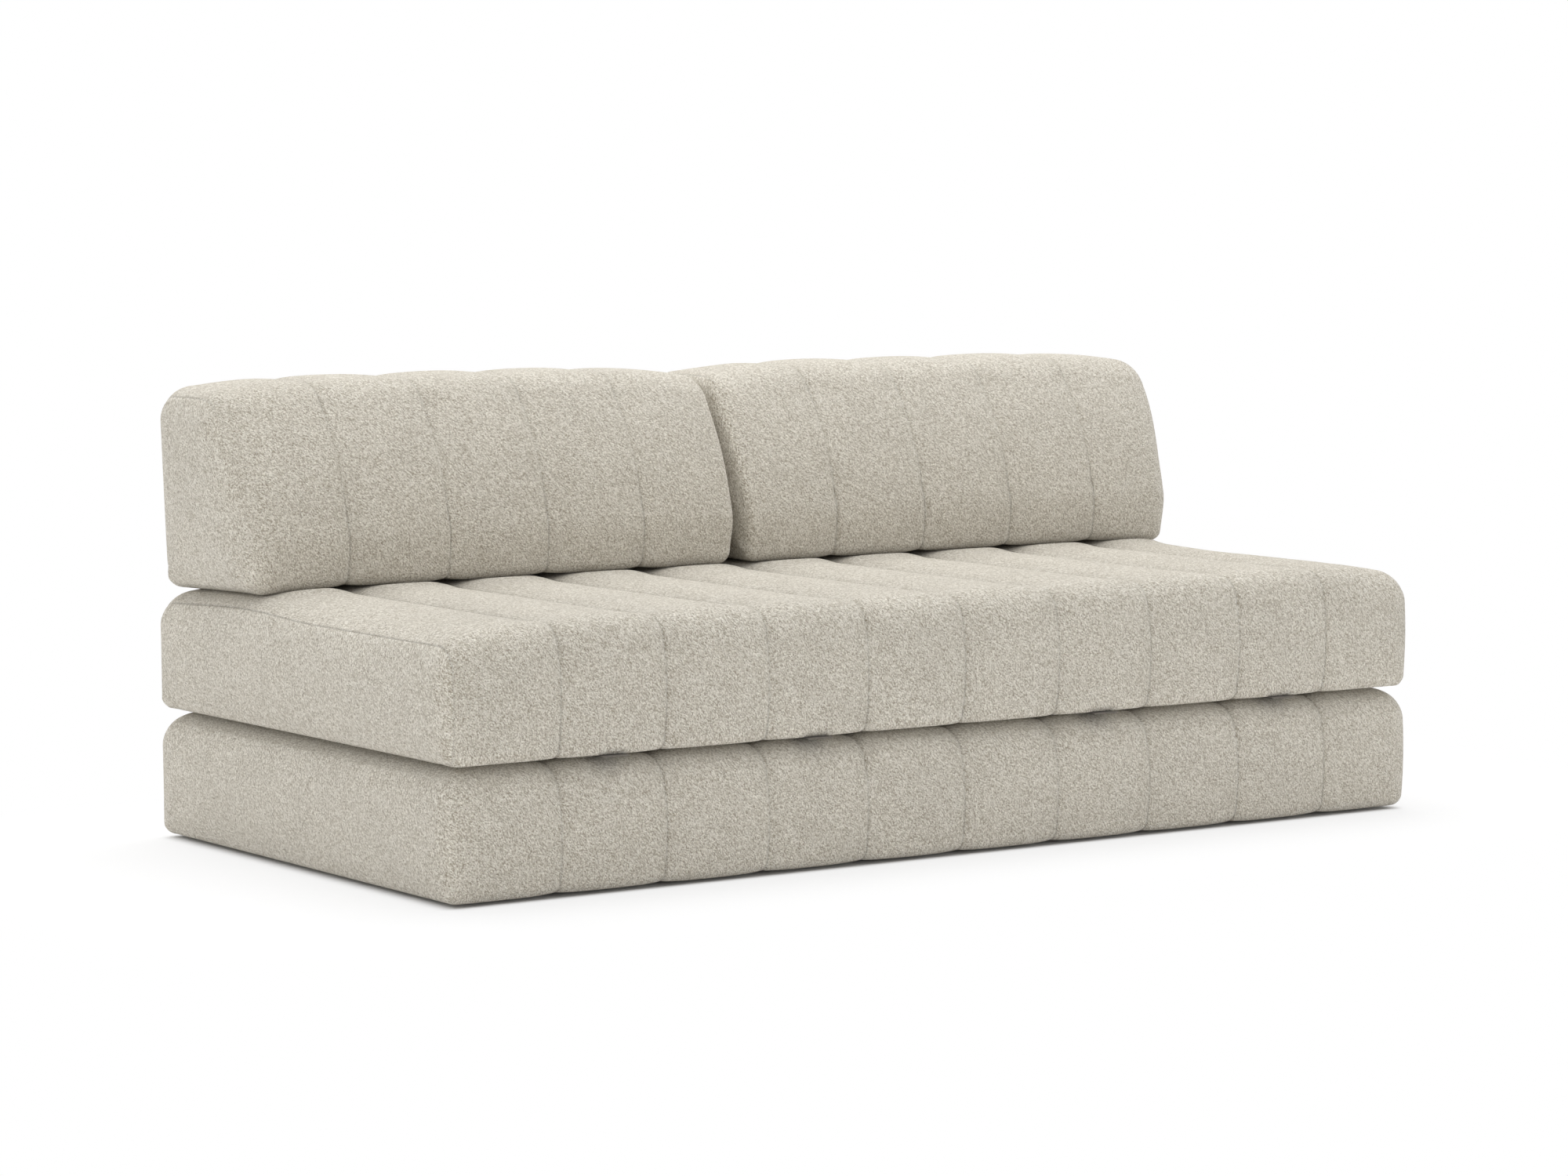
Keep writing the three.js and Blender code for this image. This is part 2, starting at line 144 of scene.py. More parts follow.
# Steps of the covers' grids.
CRISP_ANGLE = math.radians(50)
ROLL_STEPS = 10  # over an end's edge
END_STEPS = 16  # from there to the last seam
CHANNEL_STEPS = 20
ACROSS_STEPS = 92  # along a mattress's top or bottom, to the middles of its corners
UP_STEPS = 24  # up its front or back
TINY = 1e-6

# The foam inside.
FOAM_EDGE = 4 * MM  # radius of a foam block's sawn edges
FOAM_ARC = 4  # steps round such an edge
COVER_ARC = 6  # the same where the foam follows the cover's own rounding
LONG_STEPS = 16  # along the long faces of a layer
SHORT_STEPS = 6  # along its thin edges
FOAM_WALL = 16 * MM  # from a cover's outside to the foam in it
FOAM_END = 30 * MM  # the same at the ends


# Meshes from grids of points

def grid_faces(rows, cols, wrap=False):
    """Quads of a rows by cols grid of points. With wrap, the last column joins the first."""
    r, c = np.meshgrid(np.arange(rows - 1), np.arange(cols if wrap else cols - 1), indexing="ij")
    here = r * cols + c
    beside = r * cols + (c + 1) % cols
    return np.stack([here, beside, beside + cols, here + cols], -1).reshape(-1, 4)


def make_mesh(name, points, faces, uvs=None, sharp_points=(), seam=None, crisp=False):
    """A smooth closed mesh object from points, polygons of any size, and one UV pair for each face corner.
    Its faces are turned outwards. Edges between two sharp points stay sharp, and so do steep ones if crisp.
    Seam gives each point's distance from the nearest seam, how dark the painted shade of that seam is there,
    and how much painted shade the point gets down in a valley."""
    mesh = bpy.data.meshes.new(name)
    mesh.from_pydata(np.asarray(points).tolist(), [], [list(map(int, f)) for f in faces])
    mesh.polygons.foreach_set("use_smooth", [True] * len(mesh.polygons))
    if uvs is not None:
        layer = mesh.uv_layers.new(name="cloth")
        layer.data.foreach_set("uv", np.asarray(uvs, np.float32).ravel())
    turned = bmesh.new()
    turned.from_mesh(mesh)
    bmesh.ops.recalc_face_normals(turned, faces=turned.faces)
    turned.to_mesh(mesh)
    turned.free()
    if seam is not None:
        values = np.column_stack([np.asarray(value, np.float32).ravel() for value in seam])
        mesh.attributes.new("seam", "FLOAT_VECTOR", "POINT").data.foreach_set("vector", values.ravel())
    if len(sharp_points):
        ends = np.zeros(len(mesh.edges) * 2, int)
        mesh.edges.foreach_get("vertices", ends)
        sharp = np.isin(ends.reshape(-1, 2), sharp_points).all(axis=1)
        mesh.edges.foreach_set("use_edge_sharp", sharp)
    if crisp:
        mesh.set_sharp_from_angle(angle=CRISP_ANGLE)
    mesh.update()
    obj = bpy.data.objects.new(name, mesh)
    bpy.context.scene.collection.objects.link(obj)
    return obj


# Rounded outlines in the Y-Z plane, anticlockwise seen from +X

def corner(y, z, radius, arc_steps, steps, roll, depth, arc_depth, swell=0.0, crease=0.3, shade=0.45,
           fade=0.25):
    """A rounded corner, and the straight edge from it to the next one: its number of steps, how it rolls over
    at the ends, how deep the seams are in the middle of the edge and round the corner, its swell, how much
    of the end panel's crease it shows, how dark the painted shade along the seams is round the corner, and
    how much of that it loses halfway along the edge."""
    return {"at": np.array([y, z]), "radius": radius, "arc": arc_steps, "steps": steps, "roll": roll,
            "depth": depth, "arc_depth": arc_depth, "swell": swell, "crease": crease, "shade": shade,
            "fade": fade}


def edges_at(corners, i):
    """The directions of the edges before and after a corner, and of the inside of each."""
    before = corners[i]["at"] - corners[i - 1]["at"]
    after = corners[(i + 1) % len(corners)]["at"] - corners[i]["at"]
    before = before / np.linalg.norm(before)
    after = after / np.linalg.norm(after)
    return before, after, np.array([[-before[1], before[0]], [-after[1], after[0]]])


def outline(corners, insets, swell_share=1.0):
    """Points and outward normals of the outline with each edge drawn in by its own inset.
    They start in the middle of the first corner's arc."""
    least_radius = 4 * MM
    arcs = []
    for i, c in enumerate(corners):
        before, after, inward = edges_at(corners, i)
        moved = c["at"] + np.linalg.solve(inward, [insets[i - 1], insets[i]])
        radius = max(c["radius"] - (insets[i - 1] + insets[i]) / 2, least_radius)
        turn = math.acos(np.clip(before @ after, -1, 1))
        centre = moved - before * radius * math.tan(turn / 2) + inward[0] * radius
        angles = np.linspace(0, turn, c["arc"] + 1)[:, None]
        normals = -inward[0] * np.cos(angles) + before * np.sin(angles)
        arcs.append((centre + normals * radius, normals))
    points, normals = [], []
    for i, c in enumerate(corners):
        arc_points, arc_normals = arcs[i]
        next_point = arcs[(i + 1) % len(corners)][0][0]
        share = np.arange(1, c["steps"])[:, None] / c["steps"]
        out = arc_normals[-1]
        swell = out * (c["swell"] * swell_share * 4 * share * (1 - share))
        points += [arc_points, arc_points[-1] * (1 - share) + next_point * share + swell]
        normals += [arc_normals, np.repeat(out[None], len(share), 0)]
    start = corners[0]["arc"] // 2
    return np.roll(np.concatenate(points), -start, 0), np.roll(np.concatenate(normals), -start, 0)


def along_outline(corners):
    """For each point of the outline: how deep a seam lies, how much of the end crease shows, the roll, and
    how dark the painted shade along a seam is."""
    fall = 30 * MM  # how far a corner's deeper seam reaches along an edge
    depths, creases, rolls, shades = [], [], [], []
    for i, c in enumerate(corners):
        for values, key in ((creases, "crease"), (rolls, "roll")):
            values += list(np.linspace(corners[i - 1][key], c[key], c["arc"] + 1))
            values += [c[key]] * (c["steps"] - 1)
        after = corners[(i + 1) % len(corners)]
        length = np.linalg.norm(after["at"] - c["at"])
        depths += [c["arc_depth"]] * (c["arc"] + 1)
        shades += [c["shade"]] * (c["arc"] + 1)
        for step in range(1, c["steps"]):
            gone = length * step / c["steps"]
            even = c["shade"] + (after["shade"] - c["shade"]) * step / c["steps"]
            shades.append(even * (1 - c["fade"] * math.sin(math.pi * step / c["steps"])))
            near = math.exp(-gone / fall) * (c["arc_depth"] - c["depth"])
            far = math.exp(-(length - gone) / fall) * (after["arc_depth"] - c["depth"])
            depths.append(c["depth"] + near + far)
    start = corners[0]["arc"] // 2
    return [np.roll(values, -start) for values in (depths, creases, rolls, shades)]


def side_counts(corners):
    """Steps across the bottom, and up the back, between the middles of their corners' arcs."""
    across = corners[0]["arc"] // 2 + corners[0]["steps"] + corners[1]["arc"] // 2
    up = corners[1]["arc"] // 2 + corners[1]["steps"] + corners[2]["arc"] // 2
    return across, up


def path_length(points):
    return np.concatenate([[0.0], np.cumsum(np.linalg.norm(np.diff(points, axis=0), axis=1))])


# A quilted cover: channels sewn round the outline, and a plain panel sewn into each end

def roll_inset(x, half, roll):
    """How far a face lies inside its own plane at x, where it rolls over the end's edge."""
    past = np.clip(abs(x) - (half - roll), 0, roll)
    return roll - math.sqrt(roll * roll - past * past)


def mouth_place(half):
    """Where along X the end panel's seam lies."""
    return half - MOUTH_GAP


def stations(half, pitch, seams):
    """Places along X from one mouth to the other."""
    last_angle = math.asin(1 - MOUTH_GAP / END_RADIUS)
    crowding = 1.6  # draws the last stations towards the mouth
    end = []
    for step in range(ROLL_STEPS + 1):
        angle = last_angle * (1 - (step / ROLL_STEPS) ** crowding)
        end.append(half - END_RADIUS + END_RADIUS * math.sin(angle))
    last_seam = pitch * (seams - 1) / 2
    for step in range(1, END_STEPS):
        end.append(last_seam + (end[ROLL_STEPS] - last_seam) * (1 - math.sin(math.pi / 2 * step / END_STEPS)))
    middle = []
    for channel in range(seams - 1):
        for step in range(CHANNEL_STEPS):
            share = 0.5 - 0.5 * math.cos(math.pi * step / CHANNEL_STEPS)
            middle.append(-last_seam + pitch * (channel + share))
    return np.array([-x for x in end] + middle + [last_seam] + end[::-1])


def crown_share(x, pitch, seams):
    """1 at a seam and 0 between seams. Past the last seam it falls to 0 and stays there."""
    last_seam = pitch * (seams - 1) / 2
    from_middle = np.abs(((x + last_seam) / pitch) % 1 * 2 - 1)
    past = np.clip(1 - 2 * (np.abs(x) - last_seam) / pitch, 0, 1)
    return np.where(np.abs(x) > last_seam, past, from_middle) ** CROWN_POWER


def seam_distance(x, pitch, seams):
    last_seam = pitch * (seams - 1) / 2
    nearest = np.clip(np.round((x + last_seam) / pitch), 0, seams - 1) * pitch - last_seam
    return np.abs(x - nearest)


def coons(loop, across, up):
    """Fills a closed loop of points with a grid of (across + 1) by (up + 1) points."""
    bottom = loop[: across + 1]
    back = loop[across: across + up + 1]
    top = loop[across + up: 2 * across + up + 1][::-1]
    front = np.concatenate([loop[2 * across + up:], loop[:1]])[::-1]
    u = np.linspace(0, 1, across + 1)[:, None, None]
    v = np.linspace(0, 1, up + 1)[None, :, None]
    ruled = (1 - v) * bottom[:, None] + v * top[:, None] + (1 - u) * front[None] + u * back[None]
    return ruled - ((1 - u) * (1 - v) * bottom[0] + u * (1 - v) * bottom[-1]
                    + (1 - u) * v * top[0] + u * v * top[-1])


def rim_places(across, up):
    """Where each point of the loop lies in the flattened grid."""
    places = [(i, 0) for i in range(across)] + [(across, k) for k in range(up)]
    places += [(i, up) for i in range(across, 0, -1)] + [(0, k) for k in range(up, 0, -1)]
    return np.array([i * (up + 1) + k for i, k in places])


def wander(points, size, seed):
    """Smooth noise from -1 to 1 at each point, with bumps about size across."""
    shift = Vector([seed * stride for stride in NOISE_STRIDES])
    values = [noise.noise(Vector(p) / size + shift) for p in points.reshape(-1, 3).tolist()]
    return np.array(values).reshape(points.shape[:-1])


def bumps(points, kinds, seed):
    """The unevenness of the padding at each point: its wide and its narrow bumps together."""
    return sum(height * wander(points, width, seed + shift) for height, width, shift in kinds)


COLLAR = np.array([1.5, 3.5, 7, 12, 20]) * MM  # rings inside an end panel's seam, before its plain middle


def panel_rise(inward, roll):
    """How far an end panel stands out from its seam, at a distance inward from it, past an edge with this
    roll."""
    start = roll - MOUTH_GAP
    left = np.clip(np.sqrt(roll ** 2 - start ** 2) - inward, 0, None)
    rounding = np.sqrt(roll ** 2 - left ** 2) - start
    reach = 120 * MM
    return rounding + END_SWELL * (1 - (1 - np.clip(inward / reach, 0, 1)) ** 2)


def corners_at(corners, side, inner_side):
    """The corners as they are at one end: the ends of two cushions that meet roll over less."""
    if side != inner_side:
        return corners
    return [dict(c, roll=min(c["roll"], INNER_RADIUS)) for c in corners]


def build_shape(corners, half, pitch, seams, inner_side):
    """The plain shape of a cover: the sleeve's grid, and for each end its collar rings and its middle
    grid."""
    xs = stations(half, pitch, seams)
    crowns = crown_share(xs, pitch, seams)
    depths, creases, _, shades = along_outline(corners)
    across, up = side_counts(corners)
    lateness = 6  # how near to the ends the edges lose their swell
    sleeve, normals = [], []
    for x, crown in zip(xs, crowns):
        here = corners_at(corners, 1 if x > 0 else -1, inner_side)
        insets = [roll_inset(x, half, c["roll"]) for c in here]
        points, outward = outline(here, insets, 1 - (1 - END_SWELL_SHARE) * (abs(x) / half) ** lateness)
        points = points - outward * (depths * crown)[:, None]
        sleeve.append(np.column_stack([np.full(len(points), x), points]))
        normals.append(np.column_stack([np.zeros(len(points)), outward]))
    ends = []
    mouth = mouth_place(half)
    for side in (-1, 1):
        here = corners_at(corners, side, inner_side)
        base = [roll_inset(mouth, half, c["roll"]) for c in here]
        rolls = along_outline(here)[2]
        collars = []
        for inward in COLLAR:
            points, _ = outline(here, [b + inward for b in base], END_SWELL_SHARE)
            collars.append(np.column_stack([side * (mouth + panel_rise(inward, rolls)), points]))
        rim = sleeve[0] if side < 0 else sleeve[-1]
        grid = coons(collars[-1], across, up)
        flat = grid.reshape(-1, 3)
        apart = np.linalg.norm(flat[:, None, 1:] - rim[None, :, 1:], axis=2)
        flat[:, 0] = side * (mouth + panel_rise(np.min(apart, axis=1), rolls[np.argmin(apart, axis=1)]))
        ends.append({"side": side, "collars": np.array(collars), "grid": flat.reshape(grid.shape)})
    return {"xs": xs, "sleeve": np.array(sleeve), "normals": np.array(normals), "ends": ends,
            "across": across, "up": up, "depths": depths, "creases": creases, "shades": shades,
            "half": half, "pitch": pitch, "seams": seams}


# The swell of the stuffed cover, simulated as cloth under pressure between its seams

SWELL_FRAMES = 14
SWELL_PRESSURE = 4.0
SWELL_CAP = 4 * MM  # the most that it moves a point


def simulate_swell(name, points, faces, sewn):
    """How far pressure moves each point of a closed cover whose sewn points are held."""
    obj = make_mesh(name, points, faces)
    group = obj.vertex_groups.new(name="sewn")
    group.add([int(i) for i in sewn], 1.0, "REPLACE")
    cloth = obj.modifiers.new("swell", "CLOTH")
    settings = cloth.settings
    settings.quality = 4
    settings.mass = 0.4
    settings.tension_stiffness = 40
    settings.compression_stiffness = 40
    settings.shear_stiffness = 20
    settings.bending_stiffness = 2
    settings.vertex_group_mass = "sewn"
    settings.use_pressure = True
    settings.uniform_pressure_force = SWELL_PRESSURE
    settings.effector_weights.gravity = 0
    cloth.point_cache.frame_start = 1
    cloth.point_cache.frame_end = SWELL_FRAMES
    scene = bpy.context.scene
    for step in range(1, SWELL_FRAMES + 1):
        scene.frame_set(step)
    swollen = obj.evaluated_get(bpy.context.evaluated_depsgraph_get()).to_mesh()
    moved = np.zeros(len(points) * 3)
    swollen.vertices.foreach_get("co", moved)
    mesh = obj.data
    bpy.data.objects.remove(obj)
    bpy.data.meshes.remove(mesh)
    scene.frame_set(1)
    move = moved.reshape(-1, 3) - points
    length = np.linalg.norm(move, axis=1, keepdims=True)
    return move * (SWELL_CAP * np.tanh(length / SWELL_CAP) / np.maximum(length, TINY * MM))


def finer(values, axis, wrap=False):
    """Puts a smooth value between each two neighbours of an array, along one axis, by the four nearest."""
    values = np.moveaxis(values, axis, 0)
    if wrap:
        before, here, after, beyond = (np.roll(values, s, 0) for s in (1, 0, -1, -2))
    else:
        first = 2 * values[:1] - values[1:2]
        last = 2 * values[-1:] - values[-2:-1]
        padded = np.concatenate([first, values, last])
        before, here, after, beyond = padded[:-3], padded[1:-2], padded[2:-1], padded[3:]
    between = (9 * (here + after) - before - beyond) / 16
    count = len(values) * 2 if wrap else len(values) * 2 - 1
    result = np.zeros((count,) + values.shape[1:])
    result[0::2] = values
    result[1::2] = between
    return np.moveaxis(result, 0, axis)


def swell_cover(name, shape):
    """Simulates every second point of a cover, and spreads the result over all of them."""
    sleeve = shape["sleeve"][::2, ::2]
    rows, cols = sleeve.shape[:2]
    points = [sleeve.reshape(-1, 3)]
    faces = [grid_faces(rows, cols, wrap=True)[:, ::-1]]
    across, up = shape["across"] // 2, shape["up"] // 2
    rim = rim_places(across, up)
    count = rows * cols
    starts = []
    for end in shape["ends"]:
        grid = end["grid"][::2, ::2]
        starts.append(count)
        points.append(grid.reshape(-1, 3))
        quads = grid_faces(across + 1, up + 1) + count
        mouth = np.arange(cols) + (0 if end["side"] < 0 else (rows - 1) * cols)
        inner = rim + count
        strip = np.stack([mouth, np.roll(mouth, -1), np.roll(inner, -1), inner], -1)
        faces += [quads, strip[:, ::-1]] if end["side"] > 0 else [quads[:, ::-1], strip]
        count += len(points[-1])
    seam_rows = np.where(seam_distance(sleeve[:, 0, 0], shape["pitch"], shape["seams"]) < TINY)[0]
    held_rows = [0, rows - 1] + list(seam_rows)
    sewn = np.concatenate([np.arange(cols) + r * cols for r in held_rows])
    move = simulate_swell(name, np.concatenate(points), np.concatenate(faces), sewn)
    spread = move[: rows * cols].reshape(rows, cols, 3)
    shape["sleeve"] += finer(finer(spread, 0), 1, wrap=True)
    for end, start in zip(shape["ends"], starts):
        spread = move[start: start + (across + 1) * (up + 1)].reshape(across + 1, up + 1, 3)
        spread = finer(finer(spread, 0), 1)
        end["grid"] += spread
        edge = spread.reshape(-1, 3)[rim_places(shape["across"], shape["up"])]
        shares = COLLAR / COLLAR[-1]
        end["collars"] += shares[:, None, None] * edge[None]


# The finer form of the cloth, and what presses it flat

def dress_cover(shape, seed):
    """Stitched grooves, the end seams' crease, the padding's unevenness, and the seams' painted shade."""
    sleeve, normals, xs = shape["sleeve"], shape["normals"], shape["xs"]
    near = seam_distance(xs, shape["pitch"], shape["seams"])
    groove = GROOVE_DEPTH * np.exp(-(near / GROOVE_WIDTH) ** 2)
    unevenness, uneven_width = 0.35, 60 * MM
    uneven = 1 + unevenness * wander(sleeve, uneven_width, seed)
    least_share = 0.4  # of the stitched line's depth, where the channels are shallowest
    depth_share = np.clip(least_share + (1 - least_share) * shape["depths"] / DEEP_SEAM, 0, 1)
    mouth = mouth_place(shape["half"])
    crease = CREASE_DEPTH * np.exp(-(mouth - np.abs(xs)) / CREASE_WIDTH)
    drop = (groove[:, None] * depth_share[None] + crease[:, None] * shape["creases"][None]) * uneven
    held_width = 12 * MM  # beside a seam, where the cloth can't rise
    soft = bumps(sleeve, SLEEVE_BUMPS, seed)
    soft *= 1 - np.exp(-np.minimum(near, mouth - np.abs(xs)) / held_width)[:, None]
    shape["sleeve"] = sleeve + normals * (soft - drop)[..., None]
    # Painted shade for the cloth: a dark line along each seam and at the mouths, darker bands in deep
    # valleys.
    at_mouth = (mouth - np.abs(xs) < near)[:, None]
    deep = (shape["depths"] / TOP_SEAM_DEPTH) ** 2
    painted_valley = np.exp(-near / VALLEY_WIDTH)[:, None] * deep
    shape["seam"] = (np.minimum(near[:, None] / (1 + DEEP_SPREAD * deep), (mouth - np.abs(xs))[:, None]),
                     np.where(at_mouth, CREASE_SHADE * shape["creases"], shape["shades"]), painted_valley)
    panel_share = 0.8  # of the crease's depth, on the panel's side of it
    for end in shape["ends"]:
        side = end["side"]
        fade = np.exp(-COLLAR / CREASE_WIDTH)
        end["collars"][..., 0] -= side * CREASE_DEPTH * panel_share * fade[:, None] * shape["creases"][None]
        grid = end["grid"]
        soft = bumps(grid, PANEL_BUMPS, seed)
        edge_free = np.ones(grid.shape[:2])
        edge_free[[0, -1]] = 0
        edge_free[:, [0, -1]] = 0
        grid[..., 0] += side * soft * edge_free


def press(values, level, side):
    """Flattens what passes a level, softly: side 1 keeps values below it, and -1 above it."""
    softness = 0.5 * MM
    past = side * (values - level) / softness
    return values - side * softness * np.logaddexp(0, past)


def all_grids(shape):
    grids = [shape["sleeve"]]
    for end in shape["ends"]:
        grids += [end["collars"], end["grid"]]
    return grids


# From grids to closed pieces

def ring_of(loop, x_shift, inset):
    """A loop moved along X and drawn towards its own middle."""
    centre = (loop.max(0) + loop.min(0)) / 2
    half_size = (loop.max(0) - loop.min(0)) / 2
    half_size[0] = 1
    moved = centre + (loop - centre) * (1 - inset / half_size)
    moved[:, 0] = loop[:, 0] + x_shift
    return moved


def sleeve_mesh(name, shape, centre):
    """The quilted sleeve as a closed piece. Each mouth turns in behind the end panel."""
    tuck, inset = 9 * MM, 1.2 * MM
    grid = shape["sleeve"]
    first = ring_of(grid[0], tuck, inset)
    last = ring_of(grid[-1], -tuck, inset)
    grid = np.concatenate([first[None], grid, last[None]])
    rows, cols = grid.shape[:2]
    faces = grid_faces(rows, cols, wrap=True)[:, ::-1]
    middle = grid[rows // 2]
    v = path_length(np.concatenate([middle, middle[:1]]))
    u = path_length(grid[:, np.argmax(middle[:, 2])]) - path_length(grid[:, 0])[-1] / 2 + centre
    r, c = np.meshgrid(np.arange(rows - 1), np.arange(cols), indexing="ij")
    uvs = np.stack([np.stack([u[r], v[c]], -1), np.stack([u[r], v[c + 1]], -1),
                    np.stack([u[r + 1], v[c + 1]], -1), np.stack([u[r + 1], v[c]], -1)], 2).reshape(-1, 4, 2)
    uvs = uvs[:, ::-1].reshape(-1, 2)
    start_cap = np.arange(cols)
    end_cap = start_cap[::-1] + (rows - 1) * cols
    points = grid.reshape(-1, 3) + [centre, 0, 0]
    cap_uvs = np.concatenate([points[start_cap][:, 1:], points[end_cap][:, 1:]])
    mouths = np.concatenate([start_cap + cols, start_cap + (rows - 2) * cols])
    seam = [np.concatenate([values[:1], values, values[-1:]]) for values in shape["seam"]]
    polygons = list(faces) + [start_cap, end_cap]
    return make_mesh(name, points, polygons, np.concatenate([uvs, cap_uvs]), mouths, seam)


def panel_mesh(name, shape, end, centre):
    """An end panel as a closed piece: its domed face, and a flat back hidden in the sleeve."""
    gap = 0.02 * MM
    back, back_inset = 8 * MM, 2.4 * MM
    side = end["side"]
    mouth = shape["sleeve"][0 if side < 0 else -1]
    edge = ring_of(mouth, -side * gap, gap)
    rear = ring_of(mouth, -side * back, back_inset)
    rings = np.concatenate([rear[None], edge[None], end["collars"][:-1]])
    rows, cols = rings.shape[:2]
    grid = end["grid"].reshape(-1, 3)
    rim = rim_places(shape["across"], shape["up"]) + rows * cols
    faces = grid_faces(rows, cols, wrap=True)
    last = np.arange(cols) + (rows - 1) * cols
    strip = np.stack([last, np.roll(last, -1), np.roll(rim, -1), rim], -1)
    quads = grid_faces(shape["across"] + 1, shape["up"] + 1) + rows * cols
    cap = np.arange(cols)
    if side > 0:
        cap = cap[::-1]
    else:
        faces, strip, quads = faces[:, ::-1], strip[:, ::-1], quads[:, ::-1]
    points = np.concatenate([rings.reshape(-1, 3), grid]) + [centre, 0, 0]
    polygons = list(faces) + list(strip) + list(quads) + [cap]
    order = np.concatenate([np.asarray(p) for p in polygons])
    ring_places = np.concatenate([[0, 0], COLLAR[:-1]])
    distance = np.concatenate([np.repeat(ring_places, cols), np.full(len(grid), COLLAR[-1])])
    # Painted shade along the panel's seam, as on the sleeve's side of it.
    strength = np.concatenate([np.tile(CREASE_SHADE * shape["creases"], rows), np.zeros(len(grid))])
    seam = (distance, strength, np.zeros_like(strength))
    return make_mesh(name, points, polygons, points[order][:, 1:], np.arange(cols) + cols, seam)


def smooth_step(values, low, high):
    share = np.clip((values - low) / (high - low), 0, 1)
    return share * share * (3 - 2 * share)


def end_fall(x, last_seam, half):
    """0 up to the last seam, rising to 1 at the ends, and a little more on the end panels' swell."""
    most, steepness = 1.05, 1.2
    return np.clip((np.abs(x) - last_seam) / (half - last_seam), 0, most) ** steepness


def make_cover(name, body, corners, half, pitch, seams, centre, seed, presses, moves, inner_side=0):
    """A quilted cover of three padded pieces that ride on a body and replace the CAD's plain ones. The side
    on which it meets another cushion is -1, 1, or 0 for none."""
    shape = build_shape(corners, half, pitch, seams, inner_side)
    swell_cover(name, shape)
    dress_cover(shape, seed)
    for grid in all_grids(shape):
        moves(grid)
        presses(grid, centre)
    pieces = [(sleeve_mesh(f"{name}_sleeve", shape, centre), f"{name}_cover_sleeve")]
    for end, side_name in zip(shape["ends"], ("left", "right")):
        piece = panel_mesh(f"{name}_panel_{side_name}", shape, end, centre)
        pieces.append((piece, f"{name}_end_panel_{side_name}"))
    for piece, node in pieces:
        piece.data.materials.append(MATERIALS["boucle"])
        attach(piece, body)
        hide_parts(node)


# The foam inside

def drawn_in(corners, wall):
    """The corners of an outline that lies a wall inside another, without its swell."""
    inner = []
    for i, c in enumerate(corners):
        _, _, inward = edges_at(corners, i)
        at = c["at"] + np.linalg.solve(inward, [wall, wall])
        radius = max(c["radius"] - wall, FOAM_EDGE)
        inner.append(dict(c, at=at, radius=radius, roll=max(c["roll"] - wall, FOAM_EDGE), swell=0.0))
    return inner


def foam_corner(y, z, steps=SHORT_STEPS, roll=FOAM_EDGE):
    return corner(y, z, FOAM_EDGE, FOAM_ARC, steps, roll, depth=0.0, arc_depth=0.0)


def cover_corner(inner, steps=SHORT_STEPS):
    """A corner of the foam that follows the cover's own rounding."""
    return dict(inner, arc=COVER_ARC, steps=steps)


def make_filling(name, node, slot, body, corners, half, centre, moves):
    """A block of foam inside a cover, whose ends are rounded and fall as the cover's do."""
    roll_end, roll_steps, length_steps = math.radians(75), 9, 24
    roll_angles = np.linspace(roll_end, 0, roll_steps)
    widest = max(c["roll"] for c in corners)
    end = half - widest + widest * np.sin(roll_angles)
    xs = np.concatenate([-end, np.linspace(-end[-1], end[-1], length_steps)[1:-1], end[::-1]])
    rings = []
    for x in xs:
        points, _ = outline(corners, [roll_inset(x, half, c["roll"]) for c in corners])
        rings.append(np.column_stack([np.full(len(points), x), points]))
    grid = np.array(rings)
    moves(grid)
    rows, cols = grid.shape[:2]
    cap = np.arange(cols)
    faces = list(grid_faces(rows, cols, wrap=True)) + [cap, cap[::-1] + (rows - 1) * cols]
    piece = make_mesh(name, grid.reshape(-1, 3) + [centre, 0, 0], faces)
    piece.data.materials.append(MATERIALS[slot])
    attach(piece, body)
    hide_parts(node)


# Materials

def add_node(tree, kind, inputs=None, **settings):
    """A node with its settings, and its inputs either linked from a socket or set to a value."""
    made = tree.nodes.new(kind)
    for key, value in settings.items():
        setattr(made, key, value)
    for key, value in (inputs or {}).items():
        if isinstance(value, bpy.types.NodeSocket):
            tree.links.new(value, made.inputs[key])
        else:
            made.inputs[key].default_value = value
    return made


def number_math(tree, operation, *values):
    """One step of arithmetic on numbers."""
    return add_node(tree, "ShaderNodeMath", dict(enumerate(values)), operation=operation).outputs[0]


def vector_math(tree, operation, first, second=None):
    """One step of arithmetic on vectors. SCALE takes a number second, and LENGTH gives one."""
    inputs = {0: first}
    if second is not None:
        inputs["Scale" if operation == "SCALE" else 1] = second
    made = add_node(tree, "ShaderNodeVectorMath", inputs, operation=operation)
    return made.outputs["Value" if operation == "LENGTH" else "Vector"]


def remap(tree, value, source, target, smooth=False):
    """Brings a value from one range to another, evenly, or smoothly at both ends."""
    inputs = {"Value": value, "From Min": source[0], "From Max": source[1],
              "To Min": target[0], "To Max": target[1]}
    kind = "SMOOTHSTEP" if smooth else "LINEAR"
    return add_node(tree, "ShaderNodeMapRange", inputs, interpolation_type=kind).outputs[0]


def new_material(name, colour, roughness, sockets=None):
    material = bpy.data.materials.new(name)
    material.use_nodes = True
    tree = material.node_tree
    shader = tree.nodes["Principled BSDF"]
    shader.inputs["Base Color"].default_value = (*colour, 1)
    shader.inputs["Roughness"].default_value = roughness
    for key, value in (sockets or {}).items():
        shader.inputs[key].default_value = value
    return material, tree, shader


